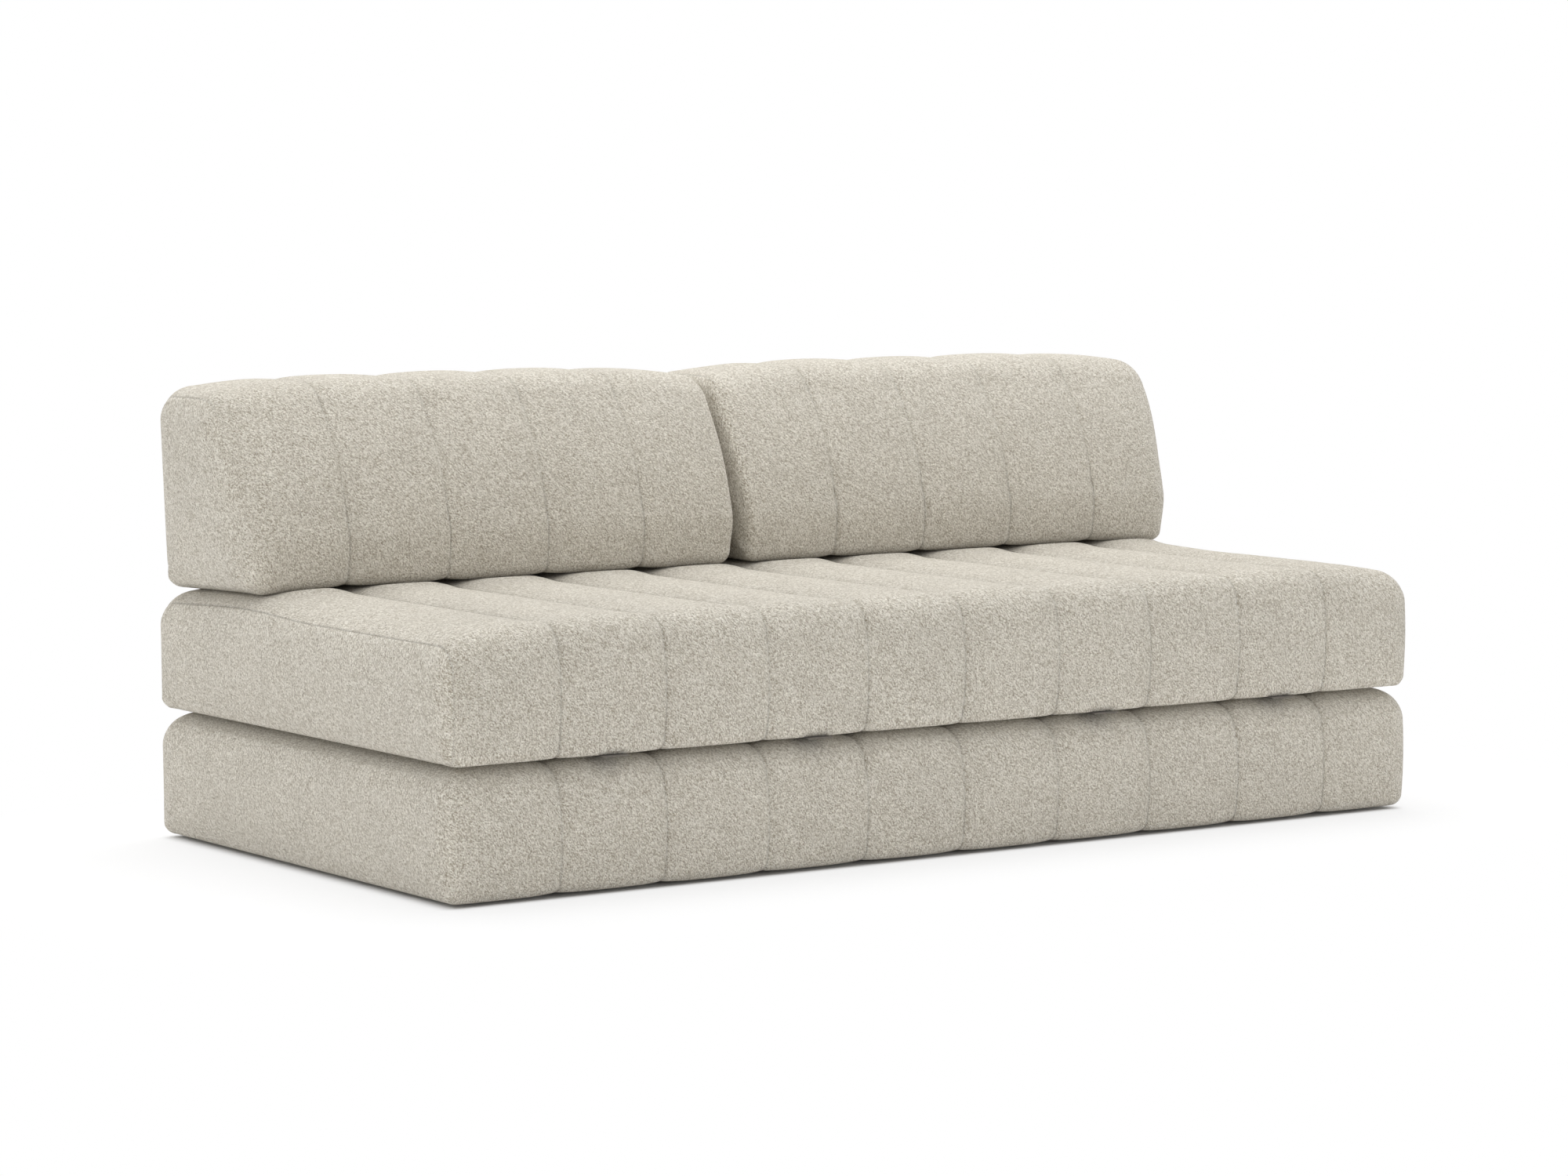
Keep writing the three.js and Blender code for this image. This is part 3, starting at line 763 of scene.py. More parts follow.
def new_group(name, inputs, outputs):
    """A shader node group with named value or vector inputs, and named outputs."""
    tree = bpy.data.node_groups.new(name, "ShaderNodeTree")
    for socket, (kind, value) in inputs.items():
        made = tree.interface.new_socket(socket, in_out="INPUT", socket_type=f"NodeSocket{kind}")
        if value is not None:
            made.default_value = value
    for socket, kind in outputs.items():
        tree.interface.new_socket(socket, in_out="OUTPUT", socket_type=f"NodeSocket{kind}")
    return tree, tree.nodes.new("NodeGroupInput"), tree.nodes.new("NodeGroupOutput")


def yarn_group():
    """Short curled flecks of yarn, longer one way than the other. Each has its own random tone."""
    tree, given, result = new_group(
        "yarn_flecks",
        {"Place": ("Vector", None), "Length": ("Float", 6 * MM), "Width": ("Float", 3 * MM),
         "Turn": ("Float", 0.9), "Curl": ("Float", 2 * MM)},
        {"Tone": "Float", "Height": "Float"})
    place = given.outputs["Place"]
    bends = add_node(tree, "ShaderNodeTexNoise", {"Vector": place, "Scale": 260.0, "Detail": 2.0})
    centred = vector_math(tree, "SUBTRACT", bends.outputs["Color"], (0.5, 0.5, 0.5))
    curled = vector_math(tree, "SCALE", centred, given.outputs["Curl"])
    moved = vector_math(tree, "ADD", place, curled)
    turned = add_node(tree, "ShaderNodeVectorRotate", {"Vector": moved, "Angle": given.outputs["Turn"]},
                      rotation_type="Z_AXIS")
    size = add_node(tree, "ShaderNodeCombineXYZ",
                    {"X": given.outputs["Length"], "Y": given.outputs["Width"], "Z": 1.0})
    scaled = vector_math(tree, "DIVIDE", turned.outputs[0], size.outputs[0])
    cells = add_node(tree, "ShaderNodeTexVoronoi", {"Vector": scaled, "Scale": 1.0}, voronoi_dimensions="2D")
    split = add_node(tree, "ShaderNodeSeparateColor", {"Color": cells.outputs["Color"]})
    height = remap(tree, cells.outputs["Distance"], (0.1, 0.75), (1.0, 0.0), smooth=True)
    tree.links.new(split.outputs["Red"], result.inputs["Tone"])
    tree.links.new(height, result.inputs["Height"])
    return tree


LARGE_FLECKS = {"Length": 2.4 * MM, "Width": 1.4 * MM, "Turn": -0.95, "Curl": 1.5 * MM}
SMALL_FLECKS = {"Length": 1.2 * MM, "Width": 0.8 * MM, "Turn": -0.5, "Curl": 0.7 * MM}
SMALL_FLECK_SHARE = 0.38  # of the tone that comes from the small flecks
SMALL_FLECK_HEIGHT = 0.4  # against a large one's
YARN_TONES = (  # places in the ramp and colours, from taupe through greige to ecru
    (0.12, (0.31, 0.265, 0.195)),
    (0.32, (0.50, 0.45, 0.365)),
    (0.50, (0.65, 0.605, 0.515)),
    (0.68, (0.75, 0.71, 0.63)),
    (0.88, (0.93, 0.895, 0.80)),
)
PILE_DEPTH = 1.3 * MM
SEAM_LINE_SHADE = 0.5  # of its brightness that the cloth keeps under the painted shade along the darkest seams


def yarn_colour(tree, tone):
    """The colour of each fleck, by its tone."""
    ramp = add_node(tree, "ShaderNodeValToRGB", {"Fac": tone})
    stops = ramp.color_ramp.elements
    for stop, (position, colour) in zip(stops, (YARN_TONES[0], YARN_TONES[-1])):
        stop.position = position
        stop.color = (*colour, 1)
    for position, colour in YARN_TONES[1:-1]:
        stops.new(position).color = (*colour, 1)
    return ramp.outputs["Color"]


def seam_painted_shade(tree):
    """How much of its brightness the cloth keeps under the painted shade beside a seam and down in a valley.
    """
    seam = add_node(tree, "ShaderNodeAttribute", attribute_name="seam")
    parts = add_node(tree, "ShaderNodeSeparateXYZ", {"Vector": seam.outputs["Vector"]})
    near = remap(tree, parts.outputs["X"], (0.0, SHADE_WIDTH), (1.0, 0.0), smooth=True)
    dark = number_math(tree, "MULTIPLY", near, parts.outputs["Y"])
    painted_line_shade = remap(tree, dark, (0.0, 1.0), (1.0, SEAM_LINE_SHADE))
    painted_valley_shade = remap(tree, parts.outputs["Z"], (0.0, 1.0), (1.0, 1 - VALLEY_SHADE))
    return number_math(tree, "MULTIPLY", painted_line_shade, painted_valley_shade)


def boucle_material(yarn):
    """Heathered looped wool: ecru, greige and taupe flecks over a slow drift of tone."""
    soft = {"Sheen Weight": 0.24, "Sheen Roughness": 0.55, "Specular IOR Level": 0.2}
    material, tree, shader = new_material("boucle_greige", (0.5, 0.46, 0.4), roughness=0.96, sockets=soft)
    place = add_node(tree, "ShaderNodeUVMap", uv_map="cloth").outputs["UV"]
    large = add_node(tree, "ShaderNodeGroup", {"Place": place, **LARGE_FLECKS}, node_tree=yarn)
    small = add_node(tree, "ShaderNodeGroup", {"Place": place, **SMALL_FLECKS}, node_tree=yarn)
    tone = add_node(tree, "ShaderNodeMix",
                    {"Factor": SMALL_FLECK_SHARE, 2: large.outputs["Tone"], 3: small.outputs["Tone"]})
    height = number_math(tree, "MULTIPLY_ADD", small.outputs["Height"], SMALL_FLECK_HEIGHT,
                         large.outputs["Height"])
    drift = add_node(tree, "ShaderNodeTexNoise",
                     {"Vector": place, "Scale": 9.0, "Detail": 3.0, "Roughness": 0.6})
    drift_level = remap(tree, drift.outputs["Fac"], (0.3, 0.7), (0.97, 1.03))
    # Painted shade in the gaps between the loops of yarn: darker where the pile is low.
    loop_gap_shade = remap(tree, height, (0.0, 1.2), (0.82, 1.07))
    level = number_math(tree, "MULTIPLY", drift_level, loop_gap_shade)
    level = number_math(tree, "MULTIPLY", level, seam_painted_shade(tree))
    colour = vector_math(tree, "SCALE", yarn_colour(tree, tone.outputs[0]), level)
    tree.links.new(colour, shader.inputs["Base Color"])
    raise_surface(tree, shader, height, PILE_DEPTH, strength=0.7)
    return material


def weave_group():
    """A plain weave of threads as wide as Thread, that cross over and under, each with its own tone."""
    tree, given, result = new_group(
        "plain_weave",
        {"Place": ("Vector", None), "Thread": ("Float", 1 * MM)},
        {"Tone": "Float", "Height": "Float"})
    width = given.outputs["Thread"]
    size = add_node(tree, "ShaderNodeCombineXYZ", {"X": width, "Y": width, "Z": 1.0})
    threads = vector_math(tree, "DIVIDE", given.outputs["Place"], size.outputs[0])
    waves = vector_math(tree, "SINE", vector_math(tree, "SCALE", threads, math.pi))
    parts = add_node(tree, "ShaderNodeSeparateXYZ", {"Vector": waves})
    crossing = number_math(tree, "MULTIPLY", parts.outputs["X"], parts.outputs["Y"])
    height = remap(tree, crossing, (-1.0, 1.0), (0.0, 1.0))
    cells = vector_math(tree, "FLOOR", threads)
    tone = add_node(tree, "ShaderNodeTexWhiteNoise", {"Vector": cells}, noise_dimensions="3D")
    tree.links.new(tone.outputs["Value"], result.inputs["Tone"])
    tree.links.new(height, result.inputs["Height"])
    return tree


def grain_group():
    """Fine grain of one size, over a slower drift ten times as large. Stretch draws it out along an axis."""
    tree, given, result = new_group(
        "grain",
        {"Size": ("Float", 1 * MM), "Stretch": ("Vector", (1, 1, 1))},
        {"Tone": "Float", "Height": "Float"})
    place = add_node(tree, "ShaderNodeTexCoord")
    drawn = vector_math(tree, "DIVIDE", place.outputs["Object"], given.outputs["Stretch"])
    fine_scale = number_math(tree, "DIVIDE", 1.0, given.outputs["Size"])
    slow_scale = number_math(tree, "DIVIDE", 0.1, given.outputs["Size"])
    fine = add_node(tree, "ShaderNodeTexNoise",
                    {"Vector": drawn, "Scale": fine_scale, "Detail": 3.0, "Roughness": 0.6})
    slow = add_node(tree, "ShaderNodeTexNoise", {"Vector": drawn, "Scale": slow_scale, "Detail": 2.0})
    tone = add_node(tree, "ShaderNodeMix", {"Factor": 0.45, 2: fine.outputs["Fac"], 3: slow.outputs["Fac"]})
    tree.links.new(remap(tree, tone.outputs[0], (0.3, 0.7), (0.0, 1.0)), result.inputs["Tone"])
    tree.links.new(fine.outputs["Fac"], result.inputs["Height"])
    return tree


def wear_group(grain):
    """Where outer edges are rubbed bright, broken up by grain."""
    tree, given, result = new_group("edge_wear", {"Size": ("Float", 2 * MM)}, {"Mask": "Float"})
    shape = add_node(tree, "ShaderNodeNewGeometry")
    edges = remap(tree, shape.outputs["Pointiness"], (0.52, 0.62), (0.0, 1.0))
    broken = add_node(tree, "ShaderNodeGroup", {"Size": given.outputs["Size"]}, node_tree=grain)
    mask = number_math(tree, "MULTIPLY", edges, broken.outputs["Tone"])
    tree.links.new(mask, result.inputs["Mask"])
    return tree


def tint(tree, shader, tone, dark, light):
    """Colours a surface between two colours by its tone."""
    ramp = add_node(tree, "ShaderNodeValToRGB", {"Fac": tone})
    ramp.color_ramp.elements[0].color = (*dark, 1)
    ramp.color_ramp.elements[1].color = (*light, 1)
    tree.links.new(ramp.outputs["Color"], shader.inputs["Base Color"])
    return ramp.outputs["Color"]


def raise_surface(tree, shader, height, distance, strength=0.6):
    bump = add_node(tree, "ShaderNodeBump", {"Strength": strength, "Distance": distance, "Height": height})
    tree.links.new(bump.outputs[0], shader.inputs["Normal"])


def vary_roughness(tree, shader, tone, low, high):
    tree.links.new(remap(tree, tone, (0.0, 1.0), (low, high)), shader.inputs["Roughness"])


def woven_material(name, thread, dark, light, weave):
    """Woven tape: its threads follow the band, by its UVs in metres."""
    material, tree, shader = new_material(name, light, 0.85, {"Specular IOR Level": 0.3, "Sheen Weight": 0.1})
    uv = add_node(tree, "ShaderNodeUVMap", uv_map="cloth")
    threads = add_node(tree, "ShaderNodeGroup", {"Place": uv.outputs["UV"], "Thread": thread},
                       node_tree=weave)
    mixed = add_node(tree, "ShaderNodeMix",
                     {"Factor": 0.55, 2: threads.outputs["Tone"], 3: threads.outputs["Height"]})
    tint(tree, shader, mixed.outputs[0], dark, light)
    bump_share = 0.4  # of a thread's width
    raise_surface(tree, shader, threads.outputs["Height"], thread * bump_share)
    return material


def grained_material(name, size, dark, light, roughness, grain, stretch=(1, 1, 1), sockets=None,
                     bump_share=0.2):
    """A surface with a grain: moulded, sawn, spun or brushed."""
    material, tree, shader = new_material(name, light, roughness[0], sockets)
    marks = add_node(tree, "ShaderNodeGroup", {"Size": size, "Stretch": stretch}, node_tree=grain)
    colour = tint(tree, shader, marks.outputs["Tone"], dark, light)
    vary_roughness(tree, shader, marks.outputs["Tone"], *roughness)
    raise_surface(tree, shader, marks.outputs["Height"], size * bump_share)
    return material, tree, shader, colour


def add_wear(tree, shader, colour, worn, wear, size):
    """Rubs a surface's outer edges towards a worn colour."""
    rubbed = add_node(tree, "ShaderNodeGroup", {"Size": size}, node_tree=wear)
    mixed = add_node(tree, "ShaderNodeMix", {"Factor": rubbed.outputs["Mask"], 6: colour, 7: (*worn, 1)},
                     data_type="RGBA")
    tree.links.new(mixed.outputs[2], shader.inputs["Base Color"])


def foam_material(name, cell, dark, light, grain):
    """Open-cell foam: small pores over a mottled body."""
    material, tree, shader = new_material(name, light, 0.95, {"Specular IOR Level": 0.15})
    mottle_share, bump_share = 3, 0.5  # of a cell
    place = add_node(tree, "ShaderNodeTexCoord")
    pores = add_node(tree, "ShaderNodeTexVoronoi", {"Vector": place.outputs["Object"], "Scale": 1 / cell})
    marks = add_node(tree, "ShaderNodeGroup", {"Size": cell * mottle_share}, node_tree=grain)
    tone = add_node(tree, "ShaderNodeMix",
                    {"Factor": 0.5, 2: marks.outputs["Tone"], 3: pores.outputs["Distance"]})
    tint(tree, shader, tone.outputs[0], dark, light)
    raise_surface(tree, shader, pores.outputs["Distance"], cell * bump_share)
    return material


def plywood_material(grain):
    """Birch plywood: long pale grain along the board."""
    return grained_material("birch_plywood", 4 * MM, dark=(0.50, 0.35, 0.19), light=(0.72, 0.56, 0.35),
                            roughness=(0.5, 0.7), grain=grain, stretch=(14, 1, 1))[0]


def lining_material(grain):
    """Thin black cloth of spun fibre."""
    return grained_material("spun_lining", 1.2 * MM, dark=(0.008, 0.008, 0.008), light=(0.034, 0.033, 0.031),
                            roughness=(0.8, 0.95), grain=grain, stretch=(1, 3, 1))[0]


def coil_material(grain):
    """The nylon of a zip's coil."""
    return grained_material("coil_nylon", 0.8 * MM, dark=(0.22, 0.20, 0.17), light=(0.34, 0.31, 0.27),
                            roughness=(0.3, 0.45), grain=grain, bump_share=0.05)[0]


def thread_material(grain):
    return grained_material("sewing_thread", 0.6 * MM, dark=(0.36, 0.33, 0.28), light=(0.58, 0.54, 0.47),
                            roughness=(0.6, 0.8), grain=grain)[0]


def slider_material(grain, wear):
    """Brushed steel, rubbed bright on its edges."""
    material, tree, shader, colour = grained_material(
        "brushed_steel", 0.4 * MM, dark=(0.30, 0.29, 0.28), light=(0.52, 0.51, 0.49), roughness=(0.28, 0.46),
        grain=grain, stretch=(12, 1, 1), sockets={"Metallic": 1.0}, bump_share=0.1)
    add_wear(tree, shader, colour, worn=(0.78, 0.77, 0.75), wear=wear, size=1 * MM)
    return material


def foot_material(grain, wear):
    """Moulded black plastic, greyed on its edges."""
    material, tree, shader, colour = grained_material(
        "moulded_plastic", 0.8 * MM, dark=(0.018, 0.018, 0.018), light=(0.045, 0.044, 0.042),
        roughness=(0.42, 0.62), grain=grain)
    add_wear(tree, shader, colour, worn=(0.13, 0.13, 0.125), wear=wear, size=2 * MM)
    return material


def make_materials():
    """Every material by the name of its slot, and those of small parts that share a slot."""
    yarn, weave, grain = yarn_group(), weave_group(), grain_group()
    wear = wear_group(grain)
    return {
        "boucle": boucle_material(yarn),
        "soft_foam": foam_material("soft_foam", cell=1.2 * MM, dark=(0.60, 0.62, 0.62),
                                   light=(0.80, 0.81, 0.79), grain=grain),
        "core_foam": foam_material("core_foam", cell=2.0 * MM, dark=(0.62, 0.54, 0.38),
                                   light=(0.84, 0.78, 0.60), grain=grain),
        "plywood": plywood_material(grain),
        "lining": lining_material(grain),
        "feet": foot_material(grain, wear),
        "zip_tape": woven_material("zip_tape_weave", thread=0.8 * MM, dark=(0.24, 0.215, 0.175),
                                   light=(0.46, 0.425, 0.36), weave=weave),
        "zip_slider": slider_material(grain, wear),
        "woven_tape": woven_material("tape_weave", thread=1.6 * MM, dark=(0.27, 0.24, 0.195),
                                     light=(0.50, 0.46, 0.39), weave=weave),
        "webbing": woven_material("webbing_weave", thread=1.8 * MM, dark=(0.09, 0.08, 0.067),
                                  light=(0.19, 0.175, 0.15), weave=weave),
        "coil": coil_material(grain),
        "thread": thread_material(grain),
    }


MATERIALS = make_materials()


# Bands, rows of small things, and turned or cut shapes

BEVEL_ANGLE = math.radians(35)  # edges steeper than this are rounded


def closed_shape(name, points, polygons, bevel=0.0):
    """A small part with crisp edges. A bevel rounds them."""
    piece = make_mesh(name, points, polygons, crisp=not bevel)
    if bevel:
        rounding = piece.modifiers.new("rounding", "BEVEL")
        rounding.width = bevel
        rounding.segments = 2
        rounding.limit_method = "ANGLE"
        rounding.angle_limit = BEVEL_ANGLE
        rounding.harden_normals = True
    return piece


def finish_piece(piece, material, slot, body, *nodes):
    """What every plain piece gets: a material, a body to ride on, and the nodes that it stands for. Its
    slot is not used."""
    piece.data.materials.clear()
    piece.data.materials.append(MATERIALS[material])
    if body is not None:
        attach(piece, body)
    if nodes:
        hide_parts(*nodes)
    return piece


def ribbon(name, path, x_low, x_high, thickness, across):
    """A woven band between two places along X, whose middle follows a path of (y, z) points. Its UVs are in
    metres, and its two selvedges are thinner."""
    selvedge_share = 0.4
    path = np.asarray(path, float)
    along = np.gradient(path, axis=0)
    along /= np.linalg.norm(along, axis=1, keepdims=True)
    normal = np.column_stack([-along[:, 1], along[:, 0]])
    lift = np.full(across + 1, thickness / 2)
    lift[[0, -1]] *= selvedge_share
    xs = np.linspace(x_low, x_high, across + 1)
    ring_x = np.concatenate([xs, xs[::-1]])
    ring_lift = np.concatenate([lift, -lift[::-1]])
    rows, cols = len(path), len(ring_x)
    points = np.zeros((rows, cols, 3))
    points[..., 0] = ring_x
    points[..., 1:] = path[:, None] + normal[:, None] * ring_lift[None, :, None]
    cap = np.arange(cols)
    polygons = list(grid_faces(rows, cols, wrap=True)) + [cap, cap[::-1] + (rows - 1) * cols]
    places = np.column_stack([np.tile(ring_x, rows), np.repeat(path_length(path), cols)])
    order = np.concatenate([np.asarray(p) for p in polygons])
    return make_mesh(name, points.reshape(-1, 3), polygons, places[order], crisp=True)


def tube(path, radii, sides):
    """Points and polygons of a closed tube along a path, with a radius at each of its points."""
    path = np.asarray(path, float)
    along = np.gradient(path, axis=0)
    along /= np.linalg.norm(along, axis=1, keepdims=True)
    nearly_along = 0.9  # a path that runs this closely along Y takes X for its reference instead
    reference = np.array([0.0, 1.0, 0.0])
    if np.abs(along[:, 1]).max() >= nearly_along:
        reference = np.array([1.0, 0.0, 0.0])
    beside = np.cross(along, reference)
    beside /= np.linalg.norm(beside, axis=1, keepdims=True)
    above = np.cross(beside, along)
    turns = np.linspace(0, 2 * math.pi, sides, endpoint=False)
    ring = np.cos(turns)[None, :, None] * beside[:, None] + np.sin(turns)[None, :, None] * above[:, None]
    points = path[:, None] + ring * np.asarray(radii)[:, None, None]
    cap = np.arange(sides)
    polygons = list(grid_faces(len(path), sides, wrap=True)) + [cap, cap + (len(path) - 1) * sides]
    return points.reshape(-1, 3), polygons


def plate(outline_points, y_low, y_high):
    """Points and polygons of a flat plate, whose outline is given as (x, z) points."""
    flat = np.asarray(outline_points, float)
    count = len(flat)
    layers = [np.column_stack([flat[:, 0], np.full(count, y), flat[:, 1]]) for y in (y_low, y_high)]
    cap = np.arange(count)
    polygons = list(grid_faces(2, count, wrap=True)) + [cap, cap + count]
    return np.concatenate(layers), polygons


def frame_plate(outer, inner, y_low, y_high):
    """Points and polygons of a flat plate with a hole. The two outlines have as many (x, z) points."""
    count = len(outer)
    loops = [(outer, y_low), (outer, y_high), (inner, y_high), (inner, y_low)]
    layers = [np.column_stack([loop[:, 0], np.full(count, y), loop[:, 1]]) for loop, y in loops]
    faces = grid_faces(len(loops) + 1, count, wrap=True) % (len(loops) * count)
    return np.concatenate(layers), list(faces)


def oval(centre, half_size, power, count=20):
    """An outline between an ellipse, at power 2, and its box, at a high power."""
    turns = np.linspace(0, 2 * math.pi, count, endpoint=False)
    x, z = np.cos(turns), np.sin(turns)
    reach = (np.abs(x) ** power + np.abs(z) ** power) ** (-1 / power)
    return np.column_stack([centre[0] + half_size[0] * x * reach, centre[1] + half_size[1] * z * reach])


def joined(parts):
    """Several (points, polygons) pairs as one."""
    points, polygons, count = [], [], 0
    for part_points, part_polygons in parts:
        points.append(part_points)
        polygons += [np.asarray(p) + count for p in part_polygons]
        count += len(part_points)
    return np.concatenate(points), polygons


ROW_SEED = 7


def repeat_tree():
    """Geometry nodes that lay copies of an item in lines, each turned a little at random."""
    tree = bpy.data.node_groups.new("rows_of_items", "GeometryNodeTree")
    tree.interface.new_socket("Geometry", in_out="INPUT", socket_type="NodeSocketGeometry")
    sockets = {}
    for socket, kind in (("Item", "Object"), ("Count", "Int"), ("Start", "Vector"), ("Step", "Vector"),
                         ("Lines", "Int"), ("Line Step", "Vector"), ("Unevenness", "Vector"),
                         ("Material", "Material")):
        made = tree.interface.new_socket(socket, in_out="INPUT", socket_type=f"NodeSocket{kind}")
        sockets[socket] = made.identifier
    tree.interface.new_socket("Geometry", in_out="OUTPUT", socket_type="NodeSocketGeometry")
    given, result = tree.nodes.new("NodeGroupInput"), tree.nodes.new("NodeGroupOutput")
    item = add_node(tree, "GeometryNodeObjectInfo", {"Object": given.outputs["Item"]})
    line = add_node(tree, "GeometryNodeMeshLine",
                    {"Count": given.outputs["Count"], "Start Location": given.outputs["Start"],
                     "Offset": given.outputs["Step"]}, mode="OFFSET")
    beside = add_node(tree, "GeometryNodeMeshLine",
                      {"Count": given.outputs["Lines"], "Offset": given.outputs["Line Step"]},
                      mode="OFFSET")
    lines = add_node(tree, "GeometryNodeInstanceOnPoints",
                     {"Points": beside.outputs[0], "Instance": line.outputs[0]})
    places = add_node(tree, "GeometryNodeRealizeInstances", {"Geometry": lines.outputs[0]})
    most = given.outputs["Unevenness"]
    turn = add_node(tree, "FunctionNodeRandomValue",
                    {0: vector_math(tree, "SCALE", most, -1.0), 1: most, "Seed": ROW_SEED},
                    data_type="FLOAT_VECTOR")
    laid = add_node(tree, "GeometryNodeInstanceOnPoints",
                    {"Points": places.outputs[0], "Instance": item.outputs["Geometry"],
                     "Rotation": turn.outputs[0]})
    real = add_node(tree, "GeometryNodeRealizeInstances", {"Geometry": laid.outputs[0]})
    painted = add_node(tree, "GeometryNodeSetMaterial",
                       {"Geometry": real.outputs[0], "Material": given.outputs["Material"]})
    tree.links.new(painted.outputs[0], result.inputs[0])
    return tree, sockets


ROWS, ROW_SOCKETS = repeat_tree()


def add_rows(name, item, count, start, step, material, lines=1, line_step=(0, 0, 0), unevenness=(0, 0, 0)):
    """A plain mesh of copies of an item in one line or more."""
    piece = bpy.data.objects.new(name, bpy.data.meshes.new(name))
    bpy.context.scene.collection.objects.link(piece)
    rows = piece.modifiers.new("rows", "NODES")
    rows.node_group = ROWS
    values = {"Item": item, "Count": count, "Start": start, "Step": step, "Lines": lines,
              "Line Step": line_step, "Unevenness": unevenness, "Material": MATERIALS[material]}
    for socket, value in values.items():
        rows[ROW_SOCKETS[socket]] = value
    graph = bpy.context.evaluated_depsgraph_get()
    mesh = bpy.data.meshes.new_from_object(piece.evaluated_get(graph), depsgraph=graph)
    piece.modifiers.remove(rows)
    piece.data = mesh
    mesh.name = name
    return piece


STITCH_PITCH = 4.2 * MM
STITCH_TURN = 0.06  # radians, the most that a stitch lies askew
STAPLE_TURN = 0.12  # the same for a staple
COIL_PITCH = 2.0 * MM
COIL_HALF = 2.7 * MM  # of a turn's width
COIL_HEIGHT = 1.2 * MM
COIL_RADIUS = 0.45 * MM  # of its thread


def stitch_shape():
    """A stitch along X that thins and dips into the cloth at its ends."""
    half, radius, dip_share = 1.5 * MM, 0.38 * MM, 0.5
    shares = np.array([-1, -0.75, 0, 0.75, 1])
    dip = -dip_share * radius * shares ** 2
    path = np.column_stack([shares * half, dip, np.zeros_like(shares)])
    return tube(path, radius * np.array([0.3, 0.85, 1, 0.85, 0.3]), sides=6)


def staple_shape(across=False):
    """A staple along X, or along Y, whose ends turn up into the board."""
    half, radius, turn_up = 5.0 * MM, 0.4 * MM, 0.6 * MM
    shares = np.array([-1, -0.75, 0, 0.75, 1])
    path = np.column_stack([shares * half, np.zeros_like(shares), turn_up * (np.abs(shares) == 1)])
    if across:
        path = path[:, [1, 0, 2]]
    return tube(path, np.full_like(shares, radius), sides=6)


def coil_turn_shape():
    """One turn of a zip's coil, arched across the tape."""
    arch = np.array([(-1, 0), (-0.82, 0.75), (-0.4, 1), (0.4, 1), (0.82, 0.75), (1, 0)])
    path = np.column_stack([np.zeros(len(arch)), arch[:, 1] * COIL_HEIGHT, arch[:, 0] * COIL_HALF])
    return tube(path, np.full(len(arch), COIL_RADIUS), sides=5)


ITEMS = {name: make_mesh(name, *shape) for name, shape in (
    ("stitch_along", stitch_shape()), ("staple_along", staple_shape()),
    ("staple_across", staple_shape(across=True)), ("coil_turn", coil_turn_shape()))}


def sew_along(name, x_low, x_high, y, z_lines, body, slot):
    """Lines of stitches along X on a face at y. The lines are evenly apart."""
    count = int((x_high - x_low) / STITCH_PITCH)
    gap = (z_lines[-1] - z_lines[0]) / max(len(z_lines) - 1, 1)
    start = (x_low + STITCH_PITCH / 2, y, z_lines[0])
    piece = add_rows(name, ITEMS["stitch_along"], count, start, (STITCH_PITCH, 0, 0), "thread",
                     lines=len(z_lines), line_step=(0, 0, gap), unevenness=(0, STITCH_TURN, 0))
    return finish_piece(piece, "thread", slot, body)


# The zips along the backs

def make_zip(name, body, slider_body):
    """A coil zip: its tape, coil, stitches, stops and slider."""
    low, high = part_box(f"{name}_zip_tape")
    middle_x, middle_z = (low.x + high.x) / 2, (low.z + high.z) / 2
    thickness, steps = 1.2 * MM, 9
    face = low.y + thickness
    path = [(low.y + thickness / 2, z) for z in np.linspace(low.z, high.z, steps)]
    tape = ribbon(f"{name}_zip_cloth", path, low.x, high.x, thickness, across=24)
    finish_piece(tape, "zip_tape", "zip_tape", body, f"{name}_zip_tape")
    stop_length, stop_half, stop_rise, stop_sink = 3 * MM, 3.4 * MM, 1.5 * MM, 0.2 * MM
    count = int((high.x - low.x - 2 * stop_length) / COIL_PITCH)
    start = (middle_x - COIL_PITCH * (count - 1) / 2, face, middle_z)
    coil = add_rows(f"{name}_zip_coil", ITEMS["coil_turn"], count, start, (COIL_PITCH, 0, 0), "coil")
    finish_piece(coil, "coil", "zip_tape", body)
    seam_z = 11.5 * MM  # from the coil to the stitches on each side of it
    sew_along(f"{name}_zip_stitches", low.x, high.x, face, (middle_z - seam_z, middle_z + seam_z), body,
              "zip_tape")
    stops = []
    for x in (low.x + stop_length, high.x - stop_length):
        edge = oval((x, middle_z), (stop_length / 2, stop_half), power=5)
        stops.append(plate(edge, low.y + stop_sink, face + stop_rise))
    stop_pair = closed_shape(f"{name}_zip_stops", *joined(stops), bevel=0.3 * MM)
    finish_piece(stop_pair, "zip_slider", "zip_slider", body)
    slider = slider_shape(f"{name}_zip_slider_pull", f"{name}_zip_slider")
    finish_piece(slider, "zip_slider", "zip_slider", slider_body, f"{name}_zip_slider")


